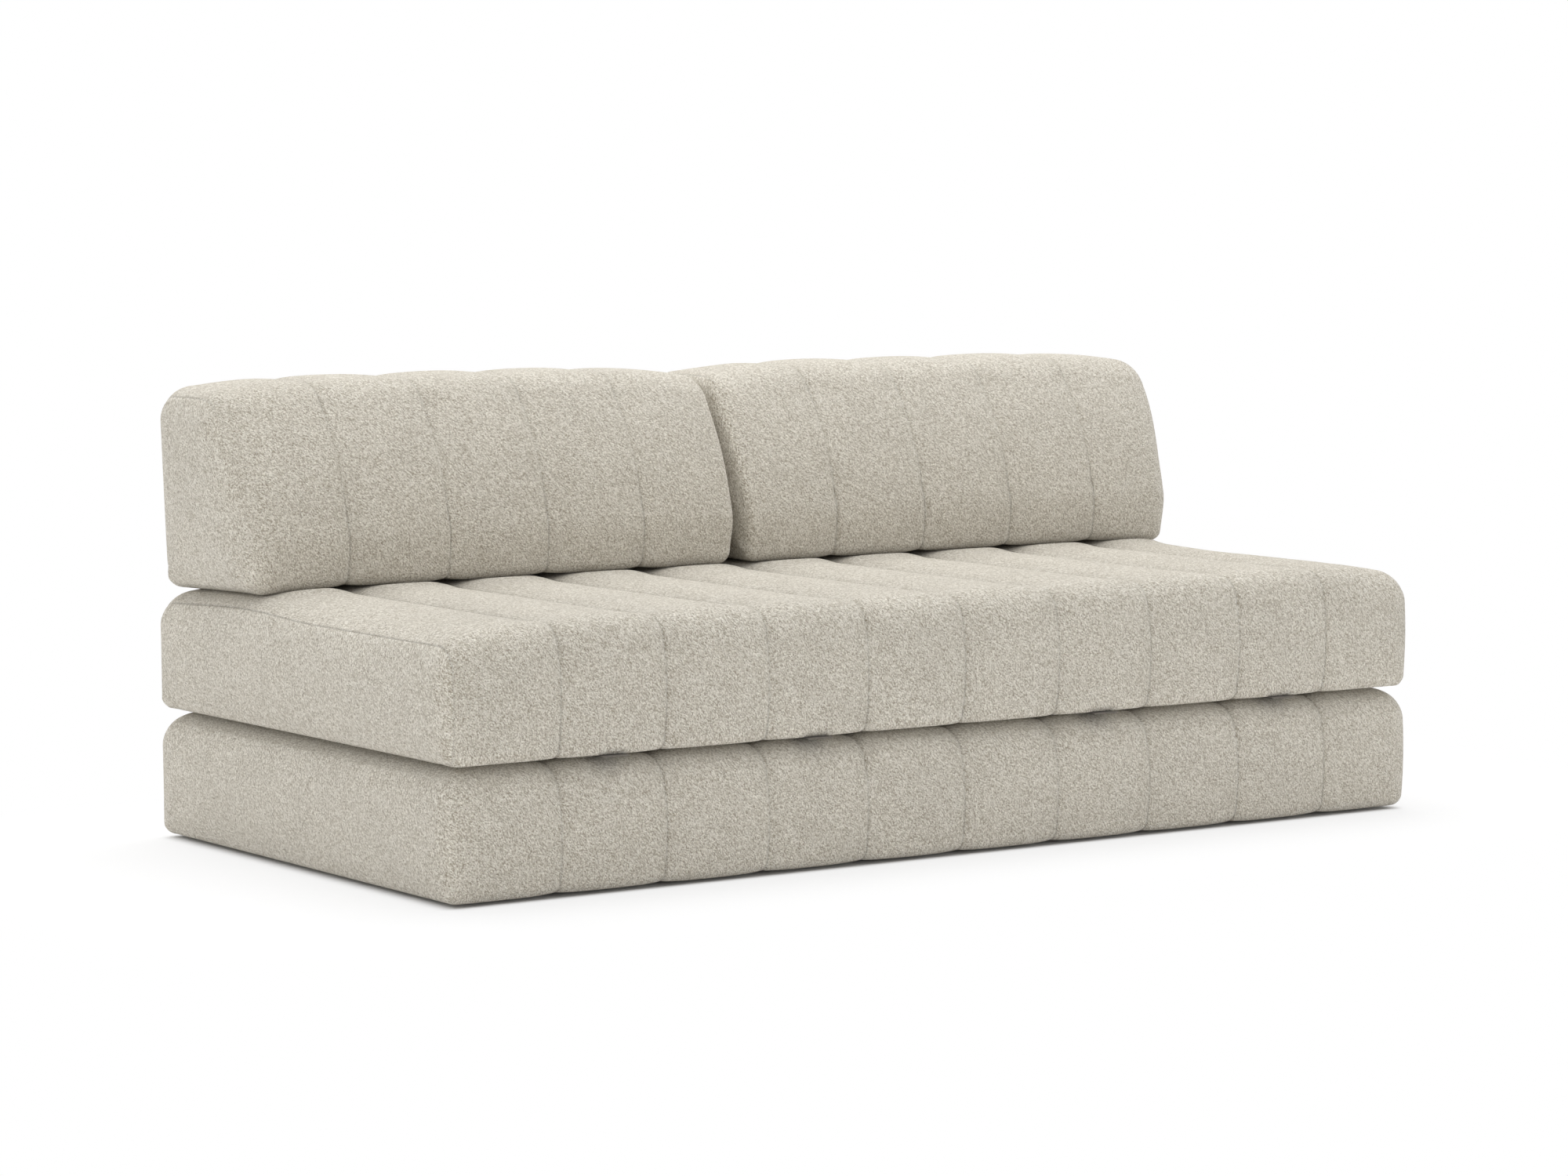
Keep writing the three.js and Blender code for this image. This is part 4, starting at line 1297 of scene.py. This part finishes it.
def slider_shape(name, node):
    """A zip slider over the coil, with a bridge and a ring pull that hangs from it."""
    low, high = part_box(node)
    x, z = (low.x + high.x) / 2, (low.z + high.z) / 2
    half_x, half_z = (high.x - low.x) / 2, (high.z - low.z) / 2
    top = high.y - 0.4 * MM
    bottom = top - 1.1 * MM
    shield = oval((x, z), (half_x, half_z), power=3.2)
    narrowing = 0.22  # of its closed end
    shield[:, 1] = z + (shield[:, 1] - z) * (1 - narrowing * (shield[:, 0] - x + half_x) / (2 * half_x))
    parts = [plate(shield, bottom, top)]
    rail_half, rail_share = 0.8 * MM, 0.75
    rail_low, rail_high = low.y + 1.4 * MM, bottom + 0.2 * MM
    for side in (-1, 1):
        rail = oval((x, z + side * (half_z - 2 * rail_half)), (half_x * rail_share, rail_half), power=5)
        parts.append(plate(rail, rail_low, rail_high))
    parts += [slider_bridge(x, top, z, half_x), slider_pull(x, top, z)]
    return closed_shape(name, *joined(parts), bevel=0.25 * MM)


def slider_bridge(x, top, z, half_x):
    """The arched wire on a slider that its pull hangs from."""
    span_share, sink, rise, radius, steps = 0.55, 0.4 * MM, 2.2 * MM, 0.9 * MM, 9
    turns = np.linspace(0, math.pi, steps)
    path = np.column_stack([x - half_x * span_share * np.cos(turns), top - sink + rise * np.sin(turns),
                            np.full_like(turns, z)])
    return tube(path, np.full_like(turns, radius), sides=8)


def slider_pull(x, top, z):
    """The flat ring that hangs from the bridge."""
    half, length, rim, thickness = 4.2 * MM, 28 * MM, 1.5 * MM, 1.0 * MM
    above, gap = 2.2 * MM, 0.15 * MM  # how far it reaches past the bridge, and from the slider's face
    centre = (x, z - length / 2 + above)
    outer = oval(centre, (half, length / 2), power=3.5, count=28)
    inner = oval(centre, (half - rim, length / 2 - rim), power=3.5, count=28)
    return frame_plate(outer, inner, top + gap, top + gap + thickness)


# The tapes, flaps and straps that hold it together

TAPE_THICKNESS = 1.1 * MM


def make_flap(side):
    """The cloth hinge behind a cushion: sewn to the seat's back edge below, and gripped by the cushion
    above."""
    anchor_low, anchor_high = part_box(f"anchor_tape_{side}")
    flap_low, flap_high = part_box(f"hinge_flap_{side}")
    ease, ease_width = 2.2 * MM, 5 * MM  # of the slack that lets the cloth turn round the edge
    bend, step = 6 * MM, 2 * MM  # how far the finer steps reach on each side of the bend
    anchor_y = (anchor_low.y + anchor_high.y) / 2
    flap_y = (flap_low.y + flap_high.y) / 2
    bend_z = (anchor_high.z + flap_low.z) / 2
    low_steps, bend_steps, high_steps = 12, 21, 10
    zs = np.concatenate([np.linspace(anchor_low.z, anchor_high.z - bend - step, low_steps),
                         np.linspace(anchor_high.z - bend, flap_low.z + bend, bend_steps),
                         np.linspace(flap_low.z + bend + step, flap_high.z, high_steps)])
    bulge = ease * np.exp(-((zs - bend_z) / ease_width) ** 2)
    ys = anchor_y + (flap_y - anchor_y) * smooth_step(zs, anchor_high.z - bend, flap_low.z) + bulge
    path = np.column_stack([ys, zs])
    flap = ribbon(f"{side}_hinge_cloth", path, flap_low.x, flap_high.x, TAPE_THICKNESS, across=20)
    finish_piece(flap, "woven_tape", "woven_tape", None, f"anchor_tape_{side}", f"hinge_flap_{side}")
    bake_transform(flap)
    margin, inner = 6 * MM, 5 * MM
    x_low, x_high = flap_low.x + inner, flap_high.x - inner
    sew_along(f"{side}_anchor_stitches", x_low, x_high, anchor_high.y,
              (anchor_low.z + margin, anchor_high.z - 2 * margin), "upper_mattress", "woven_tape")
    sew_along(f"{side}_flap_stitches", x_low, x_high, flap_high.y,
              (flap_low.z + 2 * margin, flap_high.z - margin), f"{side}_flap", "woven_tape")


def make_hook_band(side):
    """The band behind a cushion that the flap hooks to."""
    low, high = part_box(f"cushion_{side}_hook_strip")
    middle, steps = (low.y + high.y) / 2, 8
    path = [(middle, z) for z in np.linspace(low.z, high.z, steps)]
    band = ribbon(f"cushion_{side}_hook_band", path, low.x, high.x, TAPE_THICKNESS, across=20)
    finish_piece(band, "woven_tape", "woven_tape", f"{side}_cushion", f"cushion_{side}_hook_strip")


def make_hinge_strap(place):
    """A webbing strap folded in the groove between the mattresses, sewn to each of them."""
    low, lower_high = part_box(f"hinge_strap_{place}_lower_half")
    _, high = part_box(f"hinge_strap_{place}_upper_half")
    thickness, bend_steps, flat_steps = 1.0 * MM, 9, 10
    fold = (low.z + high.z) / 2
    radius = (high.z - low.z - thickness) / 2
    turns = np.linspace(-math.pi / 2, math.pi / 2, bend_steps)
    bend_y = low.y + radius + thickness / 2
    flat = np.linspace(lower_high.y, bend_y, flat_steps, endpoint=False)
    path = [(y, fold - radius) for y in flat]
    path += [(bend_y - radius * math.cos(t), fold + radius * math.sin(t)) for t in turns]
    path += [(y, fold + radius) for y in flat[::-1]]
    strap = ribbon(f"{place}_hinge_strap", path, low.x, high.x, thickness, across=8)
    finish_piece(strap, "webbing", "woven_tape", None, f"hinge_strap_{place}_lower_half",
                 f"hinge_strap_{place}_upper_half")
    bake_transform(strap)


# Underneath

def make_foot(node):
    """A turned plastic foot with a soft lower edge and a dished middle for its screw."""
    low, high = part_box(node)
    centre = (low + high) / 2
    radius = (high.x - low.x) / 2
    height = high.z - low.z
    profile = [  # shares of the radius and of the height, from the screw's dish to the upper edge
        (0.14, 0.30), (0.15, 0.55), (0.30, 0.60), (0.34, 0.06), (0.62, 0.0), (0.86, 0.0),
        (0.95, 0.06), (0.99, 0.22), (1.0, 0.5), (0.97, 0.94), (0.93, 1.0)]
    sides = 40
    turns = np.linspace(0, 2 * math.pi, sides, endpoint=False)
    rings = []
    for radius_share, height_share in profile:
        rings.append(np.column_stack([centre.x + radius * radius_share * np.cos(turns),
                                      centre.y + radius * radius_share * np.sin(turns),
                                      np.full(sides, low.z + height * height_share)]))
    cap = np.arange(sides)
    polygons = list(grid_faces(len(rings), sides, wrap=True)) + [cap, cap + (len(rings) - 1) * sides]
    foot = closed_shape(node.replace("foot_", "turned_foot_"), np.concatenate(rings), polygons)
    finish_piece(foot, "feet", "feet", "lower_mattress", node)


def make_lining():
    """The thin cloth stapled across the underside."""
    low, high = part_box("underside_lining")
    thickness = 0.6 * MM
    sag, sag_width, sag_seed = 0.4 * MM, 120 * MM, 41
    cols, rows = 90, 36
    x, y = np.meshgrid(np.linspace(low.x, high.x, cols), np.linspace(low.y, high.y, rows))
    top = np.stack([x, y, np.full_like(x, high.z)], -1)
    top[..., 2] -= sag * (0.5 + 0.5 * wander(top, sag_width, sag_seed))
    bottom = top - [0, 0, thickness]
    count = rows * cols
    quads = grid_faces(rows, cols)
    rim = np.concatenate([np.arange(cols), np.arange(1, rows) * cols + cols - 1,
                          (rows - 1) * cols + np.arange(cols - 2, -1, -1),
                          np.arange(rows - 2, 0, -1) * cols])
    sides = np.stack([rim, np.roll(rim, -1), np.roll(rim, -1) + count, rim + count], -1)
    points = np.concatenate([top.reshape(-1, 3), bottom.reshape(-1, 3)])
    lining = closed_shape("base_lining", points, list(quads) + list(quads[:, ::-1] + count) + list(sides))
    finish_piece(lining, "lining", "lining", "lower_mattress", "underside_lining")


def staple_lining():
    """Rows of staples along the lining's four edges."""
    low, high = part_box("underside_lining")
    margin, pitch = 8 * MM, 40 * MM
    level = low.z + 0.2 * MM
    along = int((high.x - low.x - 2 * margin) / pitch) + 1
    across = int((high.y - low.y - 4 * margin) / pitch) + 1
    rows = (
        ("long", "staple_along", along, (-(along - 1) * pitch / 2, low.y + margin, level),
         (pitch, 0, 0), (0, high.y - low.y - 2 * margin, 0)),
        ("short", "staple_across", across, (low.x + margin, -(across - 1) * pitch / 2, level),
         (0, pitch, 0), (high.x - low.x - 2 * margin, 0, 0)))
    for place, item, count, start, step, line_step in rows:
        piece = add_rows(f"lining_staples_{place}", ITEMS[item], count, start, step, "zip_slider", lines=2,
                         line_step=line_step, unevenness=(0, 0, STAPLE_TURN))
        finish_piece(piece, "zip_slider", "zip_slider", "lower_mattress")


# What stays of the plain parts inside

INSIDE = {"lower_base_board": "plywood", "lower_foam_core": "core_foam", "upper_foam_core": "core_foam"}


def paint_inside():
    for node, material in INSIDE.items():
        for place in frame["nodes"][node].material_slots:
            place.material = MATERIALS[material]


# The covers

def mattress_corners(sleeve_node, radii, rolls, arc_steps, low_arc_depth):
    """The outline of a mattress, from the box of its plain CAD sleeve. Its radii, end rolls and arc steps are
    each a pair, for its bottom and its top."""
    low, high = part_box(sleeve_node)
    front = low.y + FRONT_SWELL
    low_arc, high_arc = arc_steps
    up_steps = UP_STEPS - low_arc // 2 - high_arc // 2
    bottom = {"radius": radii[0], "arc_steps": low_arc, "arc_depth": low_arc_depth}
    top = {"radius": radii[1], "arc_steps": high_arc}
    # Each corner's shade and fade set the painted shade along its seams.
    return [
        corner(front, low.z, **bottom, steps=ACROSS_STEPS - low_arc, roll=rolls[0], depth=3.0 * MM),
        corner(high.y, low.z, **bottom, steps=up_steps, roll=END_FRONT_RADIUS, depth=3.5 * MM),
        corner(high.y, high.z, **top, steps=ACROSS_STEPS - high_arc, roll=rolls[1], depth=TOP_SEAM_DEPTH,
               arc_depth=TOP_SEAM_DEPTH, crease=1.0, shade=0.6),
        corner(front, high.z, **top, steps=up_steps, roll=END_FRONT_RADIUS, depth=2.6 * MM,
               arc_depth=5.5 * MM, swell=FRONT_SWELL, shade=0.2, fade=0.0),
    ]


def top_layer(corners, node):
    """The outline of a soft layer just under a mattress's top."""
    _, _, high_back, high_front = drawn_in(corners, FOAM_WALL)
    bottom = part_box(node)[0].z
    return [foam_corner(high_front["at"][0], bottom, LONG_STEPS), foam_corner(high_back["at"][0], bottom),
            cover_corner(high_back, LONG_STEPS), cover_corner(high_front)]


def bottom_layer(corners, node):
    """The outline of a soft layer just above a mattress's underside."""
    low_front, low_back, _, _ = drawn_in(corners, FOAM_WALL)
    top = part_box(node)[1].z
    return [cover_corner(low_front, LONG_STEPS), cover_corner(low_back),
            foam_corner(low_back["at"][0], top, LONG_STEPS), foam_corner(low_front["at"][0], top)]


def mattress_presses(low_level, high_level, back_level, clear_line=None, clear_rise=0.0):
    """What flattens a mattress: the layers below and above it, the tapes at its back, and in front the other
    mattress when the bed lies open. In front of the clear line its top may rise a little more."""
    fold_gap = 1.0 * MM
    edge_width = 10 * MM  # over which the clear rise fades

    def presses(grid, _centre):
        grid[..., 1] = press(grid[..., 1], FOLD_LINE + fold_gap, -1)
        grid[..., 2] = press(grid[..., 2], low_level, -1)
        ceiling = high_level
        if clear_line is not None:
            ceiling = high_level + clear_rise / (1 + np.exp((grid[..., 1] - clear_line) / edge_width))
        grid[..., 2] = press(grid[..., 2], ceiling, 1)
        grid[..., 1] = press(grid[..., 1], back_level, 1)
    return presses


def sag_at_groove(grid, level, half, front):
    """Lets the faces that meet at a level sink together along the front and the ends."""
    full_reach, reach = 30 * MM, 80 * MM  # inwards from the edge: all of the sag, and the last of it
    full_height, height = 20 * MM, 100 * MM  # the same up and down from the level
    before = 1 - smooth_step(grid[..., 1], front + full_reach, front + reach)
    beside = smooth_step(np.abs(grid[..., 0]), half - reach, half - full_reach)
    near = 1 - smooth_step(np.abs(grid[..., 2] - level), full_height, height)
    grid[..., 2] -= GROOVE_SAG * np.maximum(before, beside) * near


def seat_moves(half, low, high, cushion_front):
    """Lets the upper mattress sink at the groove, swell up in front of the cushions, and fall at its ends."""
    last_seam = MATTRESS_PITCH * (MATTRESS_SEAMS - 1) / 2
    blend_front, blend_back = cushion_front - 220 * MM, cushion_front + 40 * MM  # from open seat to covered
    fall_low, fall_high = low.z + 30 * MM, high.z - 20 * MM  # the heights that take up the fall
    bulge_line, bulge_width = cushion_front - 8 * MM, 22 * MM
    bulge_low, bulge_high = high.z - 40 * MM, high.z - 15 * MM  # the heights that take it up
    bulge_full, bulge_end = half - 90 * MM, half - 40 * MM  # where it starts to fade, and is gone

    def bulge(grid):
        between = 1 - crown_share(grid[..., 0], MATTRESS_PITCH, MATTRESS_SEAMS)
        near = np.exp(-((grid[..., 1] - bulge_line) / bulge_width) ** 2)
        high_share = smooth_step(grid[..., 2], bulge_low, bulge_high)
        inside = 1 - smooth_step(np.abs(grid[..., 0]), bulge_full, bulge_end)
        grid[..., 2] += SEAT_BULGE * between * near * high_share * inside

    def fall(grid):
        under = smooth_step(grid[..., 1], blend_front, blend_back)
        behind = smooth_step(grid[..., 1], blend_back, high.y)
        drop = SEAT_DROP + (SEAT_DROP_UNDER - SEAT_DROP) * under
        drop += (SEAT_DROP_BACK - SEAT_DROP_UNDER) * behind
        high_share = smooth_step(grid[..., 2], fall_low, fall_high)
        grid[..., 2] -= drop * end_fall(grid[..., 0], last_seam, half) * high_share

    def moves(grid):
        sag_at_groove(grid, low.z, half, low.y)
        bulge(grid)
        fall(grid)
    return moves


def make_mattresses():
    end_inset = 2 * MM  # from a plain end inwards to the flat of the dressed one
    base_give = 0.1 * MM  # how far the lower one may pass its plain base
    seat_gap = 0.2 * MM  # from the plain seat down to the dressed one, under the cushions
    seat_rise = 7 * MM  # how much higher it may be in front of them
    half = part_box("lower_end_panel_right")[1].x - end_inset
    lower_low, lower_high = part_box("lower_cover_sleeve")
    upper_low, upper_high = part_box("upper_cover_sleeve")
    cushion_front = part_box("cushion_left_cover_sleeve")[0].y
    lower = mattress_corners("lower_cover_sleeve", (BASE_RADIUS, GROOVE_RADIUS),
                             (END_BASE_RADIUS, END_GROOVE_RADIUS), (8, 12), low_arc_depth=3.2 * MM)
    upper = mattress_corners("upper_cover_sleeve", (UNDER_RADIUS, SEAT_RADIUS),
                             (END_UNDER_RADIUS, END_RADIUS), (12, 12), low_arc_depth=5.0 * MM)
    for c in lower:
        c["crease"] = 0.0  # its end seams lie flush

    def lower_moves(grid):
        sag_at_groove(grid, lower_high.z, half, lower_low.y)

    upper_moves = seat_moves(half, upper_low, upper_high, cushion_front)
    lower_presses = mattress_presses(lower_low.z - base_give, lower_high.z, lower_high.y)
    upper_presses = mattress_presses(upper_low.z, upper_high.z - seat_gap, upper_high.y,
                                     clear_line=cushion_front, clear_rise=seat_rise)
    for name, corners, seed, presses, moves in (("lower", lower, 1, lower_presses, lower_moves),
                                                ("upper", upper, 2, upper_presses, upper_moves)):
        make_cover(name, f"{name}_mattress", corners, half, MATTRESS_PITCH, MATTRESS_SEAMS, 0.0, seed,
                   presses, moves)
    for name, body, section, corners, moves in (
            ("lower_comfort", "lower_mattress", top_layer, lower, lower_moves),
            ("upper_comfort", "upper_mattress", top_layer, upper, upper_moves),
            ("upper_sleep", "upper_mattress", bottom_layer, upper, upper_moves)):
        node = f"{name}_layer"
        make_filling(f"{name}_foam", node, "soft_foam", body, section(corners, node), half - FOAM_END, 0.0,
                     moves)


def cushion_corners(sleeve_node):
    """The outline of a back cushion: an upright box below, and a front that leans back above it."""
    low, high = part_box(sleeve_node)
    brow = Vector((high.y - CUSHION_TOP_DEPTH, high.z - CUSHION_CROWN))
    base = {"radius": CUSHION_LOW_RADIUS, "arc_steps": 8, "arc_depth": 4.0 * MM}
    # Each corner's shade and fade set the painted shade along its seams.
    return [
        corner(low.y + CUSHION_UNDERCUT, low.z, **base, steps=24, roll=CUSHION_BASE_ROLL, depth=2.5 * MM),
        corner(high.y, low.z, **base, steps=26, roll=END_RADIUS, depth=3.0 * MM),
        corner(high.y, high.z - CUSHION_CROWN, radius=NAPE_RADIUS, arc_steps=12, steps=20, roll=END_RADIUS,
               depth=7.0 * MM, arc_depth=7.0 * MM, swell=2 * MM, crease=0.7, shade=0.5),
        corner(brow.x, brow.y, radius=BROW_RADIUS, arc_steps=12, steps=17,
               roll=CUSHION_CORNER_RADIUS, depth=1.8 * MM, arc_depth=4.2 * MM, swell=10 * MM,
               crease=0.0, shade=0.22, fade=0.9),
        corner(low.y, low.z + BOX_HEIGHT, radius=KINK_RADIUS, arc_steps=4, steps=5,
               roll=CUSHION_CORNER_RADIUS, depth=3.0 * MM, arc_depth=3.4 * MM, crease=0.0),
    ]


def cushion_moves(half, low, high, outer):
    """Draws the ends of a cushion in towards its base, and lets its top and its outer end fall a little. Its
    outer end is the right one where outer is above 0."""
    last_seam = CUSHION_PITCH * (CUSHION_SEAMS - 1) / 2
    straight_share = 0.6  # of the half length that keeps clear of the ends
    pinch_height, pinch_fall, pinch_width = 100 * MM, 66 * MM, 5 * MM  # it falls towards the back
    flare_rise, drop_rise, sag_rise = (0.35, 0.85), (0.4, 0.95), (0.05, 0.5)  # shares of the height

    def moves(grid):
        x, y, z = grid[..., 0].copy(), grid[..., 1], grid[..., 2].copy()
        rise = np.clip((z - low.z) / (high.z - low.z), 0, 1)
        backwards = (y - low.y) / (high.y - low.y)
        straight = half * straight_share
        near_end = np.clip((np.abs(x) - straight) / (half * (1 - straight_share)), 0, 1) ** 2
        pinch_line = low.z + pinch_height - pinch_fall * backwards
        pinch = PINCH_DEPTH * np.exp(-((z - pinch_line) / pinch_width) ** 2)
        grid[..., 0] -= np.sign(x) * (CUSHION_TUCK * (1 - rise) ** 2 + pinch) * near_end
        if outer > 0:
            grid[..., 0] += (x > 0) * CUSHION_FLARE * near_end * smooth_step(rise, *flare_rise)
        fall = end_fall(x, last_seam, half)
        grid[..., 2] -= fall * CUSHION_DROP * smooth_step(rise, *drop_rise)
        sag = CUSHION_SAG + (CUSHION_SAG_BACK - CUSHION_SAG) * backwards
        grid[..., 2] -= fall * (x * outer > 0) * sag * (1 - smooth_step(rise, *sag_rise))
    return moves


def cushion_fillings(corners):
    """The outlines of the soft layer along a cushion's front, and of the firm foam behind it."""
    low_front, low_back, high_back, high_front, kink = drawn_in(corners, FOAM_WALL)
    thickness, glue_line = 50 * MM, 1 * MM
    back_steps = 12
    low_y, low_z = low_front["at"]
    high_y, high_z = high_front["at"]
    soft = [cover_corner(low_front), foam_corner(low_y + thickness, low_z, LONG_STEPS),
            foam_corner(high_y + thickness, high_z), cover_corner(high_front, back_steps),
            dict(kink, steps=SHORT_STEPS)]
    firm = [foam_corner(low_y + thickness + glue_line, low_z, roll=low_back["roll"]),
            cover_corner(low_back, back_steps), cover_corner(high_back),
            foam_corner(high_y + thickness + glue_line, high_z, LONG_STEPS)]
    return {"comfort": (soft, "soft_foam", "comfort_layer"), "core": (firm, "core_foam", "foam_core")}


def make_cushions():
    swell_past = 1 * MM  # how far an end's swell may pass the plain one
    meeting_gap = 0.4 * MM  # from the middle of the sofa to each cushion's inner end
    for name, body, seed in (("cushion_left", "left_cushion", 3), ("cushion_right", "right_cushion", 4)):
        low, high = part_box(f"{name}_cover_sleeve")
        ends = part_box(f"{name}_end_panel_left")[0].x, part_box(f"{name}_end_panel_right")[1].x
        centre = (ends[0] + ends[1]) / 2
        half = (ends[1] - ends[0]) / 2 - END_SWELL + swell_past
        outer = math.copysign(1, centre)

        def presses(grid, shift, low=low, high=high, inner=-outer):
            grid[..., 2] = press(grid[..., 2], low.z - CUSHION_SAG_BACK, -1)
            grid[..., 1] = press(grid[..., 1], high.y, 1)
            grid[..., 0] = press(grid[..., 0] + shift, -inner * meeting_gap, inner) - shift

        corners = cushion_corners(f"{name}_cover_sleeve")
        moves = cushion_moves(half, low, high, outer)
        make_cover(name, body, corners, half, CUSHION_PITCH, CUSHION_SEAMS, centre, seed, presses, moves,
                   inner_side=-outer)
        for kind, (section, slot, layer) in cushion_fillings(corners).items():
            make_filling(f"{name}_{kind}_foam", f"{name}_{layer}", slot, body, section, half - FOAM_END,
                         centre, moves)


# Everything in its place

make_mattresses()
make_cushions()
for zip_name, zip_body in (("lower", "lower_mattress"), ("upper", "upper_mattress"),
                           ("cushion_left", "left_cushion"), ("cushion_right", "right_cushion")):
    slider = f"{zip_body}_slider" if "cushion" in zip_name else f"{zip_name}_slider"
    make_zip(zip_name, zip_body, slider)
for hinge_side in ("left", "right"):
    make_flap(hinge_side)
    make_hook_band(hinge_side)
for strap_place in ("far_left", "left", "right", "far_right"):
    make_hinge_strap(strap_place)
for foot_row in ("front", "back"):
    for foot_place in ("far_left", "left", "right", "far_right"):
        make_foot(f"foot_{foot_row}_{foot_place}")
make_lining()
staple_lining()
paint_inside()
for item in ITEMS.values():
    bpy.data.objects.remove(item)


# Floor, light and camera

def seen_rays(tree):
    """1 for rays that show the background: to the camera, or by way of metal or glass."""
    rays = add_node(tree, "ShaderNodeLightPath")
    seen = number_math(tree, "MAXIMUM", rays.outputs["Is Camera Ray"], rays.outputs["Is Glossy Ray"])
    return number_math(tree, "MAXIMUM", seen, rays.outputs["Is Transmission Ray"])


CONTACT_INSET = 34 * MM  # from the footprint's edge to where the covers rest
CONTACT_WIDTH = 46 * MM  # of the dark line where they meet the floor
CONTACT_SHARE = 0.72  # of the way from the shaded floor to white, across that line
SHADOW_WIDTH = 700 * MM  # of the shadow beside the ends, out to plain white
FRONT_FADE = 1.6  # how much quicker the shadow fades in front than beside the ends


def beside_footprint(tree):
    """How far a place on the floor lies outside the footprint. In front and behind it counts for more."""
    place = add_node(tree, "ShaderNodeTexCoord")
    resting = (CAD_BOX[1].x - CONTACT_INSET, CAD_BOX[1].y - CONTACT_INSET, 0)
    beyond = vector_math(tree, "SUBTRACT", vector_math(tree, "ABSOLUTE", place.outputs["Object"]), resting)
    outside = vector_math(tree, "MAXIMUM", beyond, (0, 0, 0))
    return vector_math(tree, "LENGTH", vector_math(tree, "MULTIPLY", outside, (1, FRONT_FADE, 1)))


def make_floor():
    """A floor that takes the shadow close by and is plain white farther off, to the camera."""
    size = 30.0
    points = [(-size, -size, 0), (size, -size, 0), (size, size, 0), (-size, size, 0)]
    floor = make_mesh("floor", points, [(0, 1, 2, 3)])
    material = bpy.data.materials.new("floor_white")
    material.use_nodes = True
    tree = material.node_tree
    tree.nodes.clear()
    diffuse = add_node(tree, "ShaderNodeBsdfDiffuse", {"Color": (0.9, 0.9, 0.9, 1)})
    emission = add_node(tree, "ShaderNodeEmission", {"Color": (1, 1, 1, 1), "Strength": 1.0})
    distance = beside_footprint(tree)
    contact = remap(tree, distance, (0.0, CONTACT_WIDTH), (0.0, CONTACT_SHARE), smooth=True)
    far = remap(tree, distance, (CONTACT_WIDTH, SHADOW_WIDTH), (0.0, 1 - CONTACT_SHARE), smooth=True)
    glow = number_math(tree, "MULTIPLY", seen_rays(tree), number_math(tree, "ADD", contact, far))
    both = add_node(tree, "ShaderNodeMixShader", {0: glow, 1: diffuse.outputs[0], 2: emission.outputs[0]})
    output = add_node(tree, "ShaderNodeOutputMaterial")
    tree.links.new(both.outputs[0], output.inputs["Surface"])
    floor.data.materials.append(material)


def make_world(strength):
    """Even white light. It shows itself as plain white, however strong it is."""
    world = bpy.data.worlds.new("studio")
    bpy.context.scene.world = world
    world.use_nodes = True
    tree = world.node_tree
    tree.nodes.clear()
    light = add_node(tree, "ShaderNodeBackground", {"Color": (1, 1, 1, 1), "Strength": strength})
    backdrop = add_node(tree, "ShaderNodeBackground", {"Color": (1, 1, 1, 1), "Strength": 1.0})
    mixed = add_node(tree, "ShaderNodeMixShader",
                     {0: seen_rays(tree), 1: light.outputs[0], 2: backdrop.outputs[0]})
    output = add_node(tree, "ShaderNodeOutputWorld")
    tree.links.new(mixed.outputs[0], output.inputs["Surface"])


def add_area_light(name, place, target, size, watts):
    data = bpy.data.lights.new(name, "AREA")
    data.shape = "RECTANGLE"
    data.size, data.size_y = size
    data.energy = watts
    lamp = bpy.data.objects.new(name, data)
    lamp.location = place
    lamp.rotation_euler = (Vector(target) - Vector(place)).to_track_quat("-Z", "Y").to_euler()
    bpy.context.scene.collection.objects.link(lamp)


def make_camera():
    data = bpy.data.cameras.new("camera")
    data.lens = CAMERA_LENS
    data.sensor_width = CAMERA_SENSOR
    data.shift_y = CAMERA_SHIFT
    data.clip_end = 200
    camera = bpy.data.objects.new("camera", data)
    camera.location = CAMERA_PLACE
    camera.rotation_euler = (math.pi / 2 - CAMERA_PITCH, 0, -CAMERA_YAW)
    bpy.context.scene.collection.objects.link(camera)
    bpy.context.scene.camera = camera


make_floor()
make_world(strength=0.755)
add_area_light("overhead", place=(0.5, 1.2, 4.2), target=(0, 0, 0.3), size=(4.5, 3.5), watts=151)
add_area_light("left", place=(-5.0, 0.2, 2.0), target=(0, 0, 0.4), size=(3.0, 3.0), watts=35)
add_area_light("front", place=(1.5, -5.5, 1.1), target=(0, 0, 0.15), size=(4.0, 1.4), watts=34)
make_camera()
bpy.context.scene.view_settings.view_transform = "Standard"
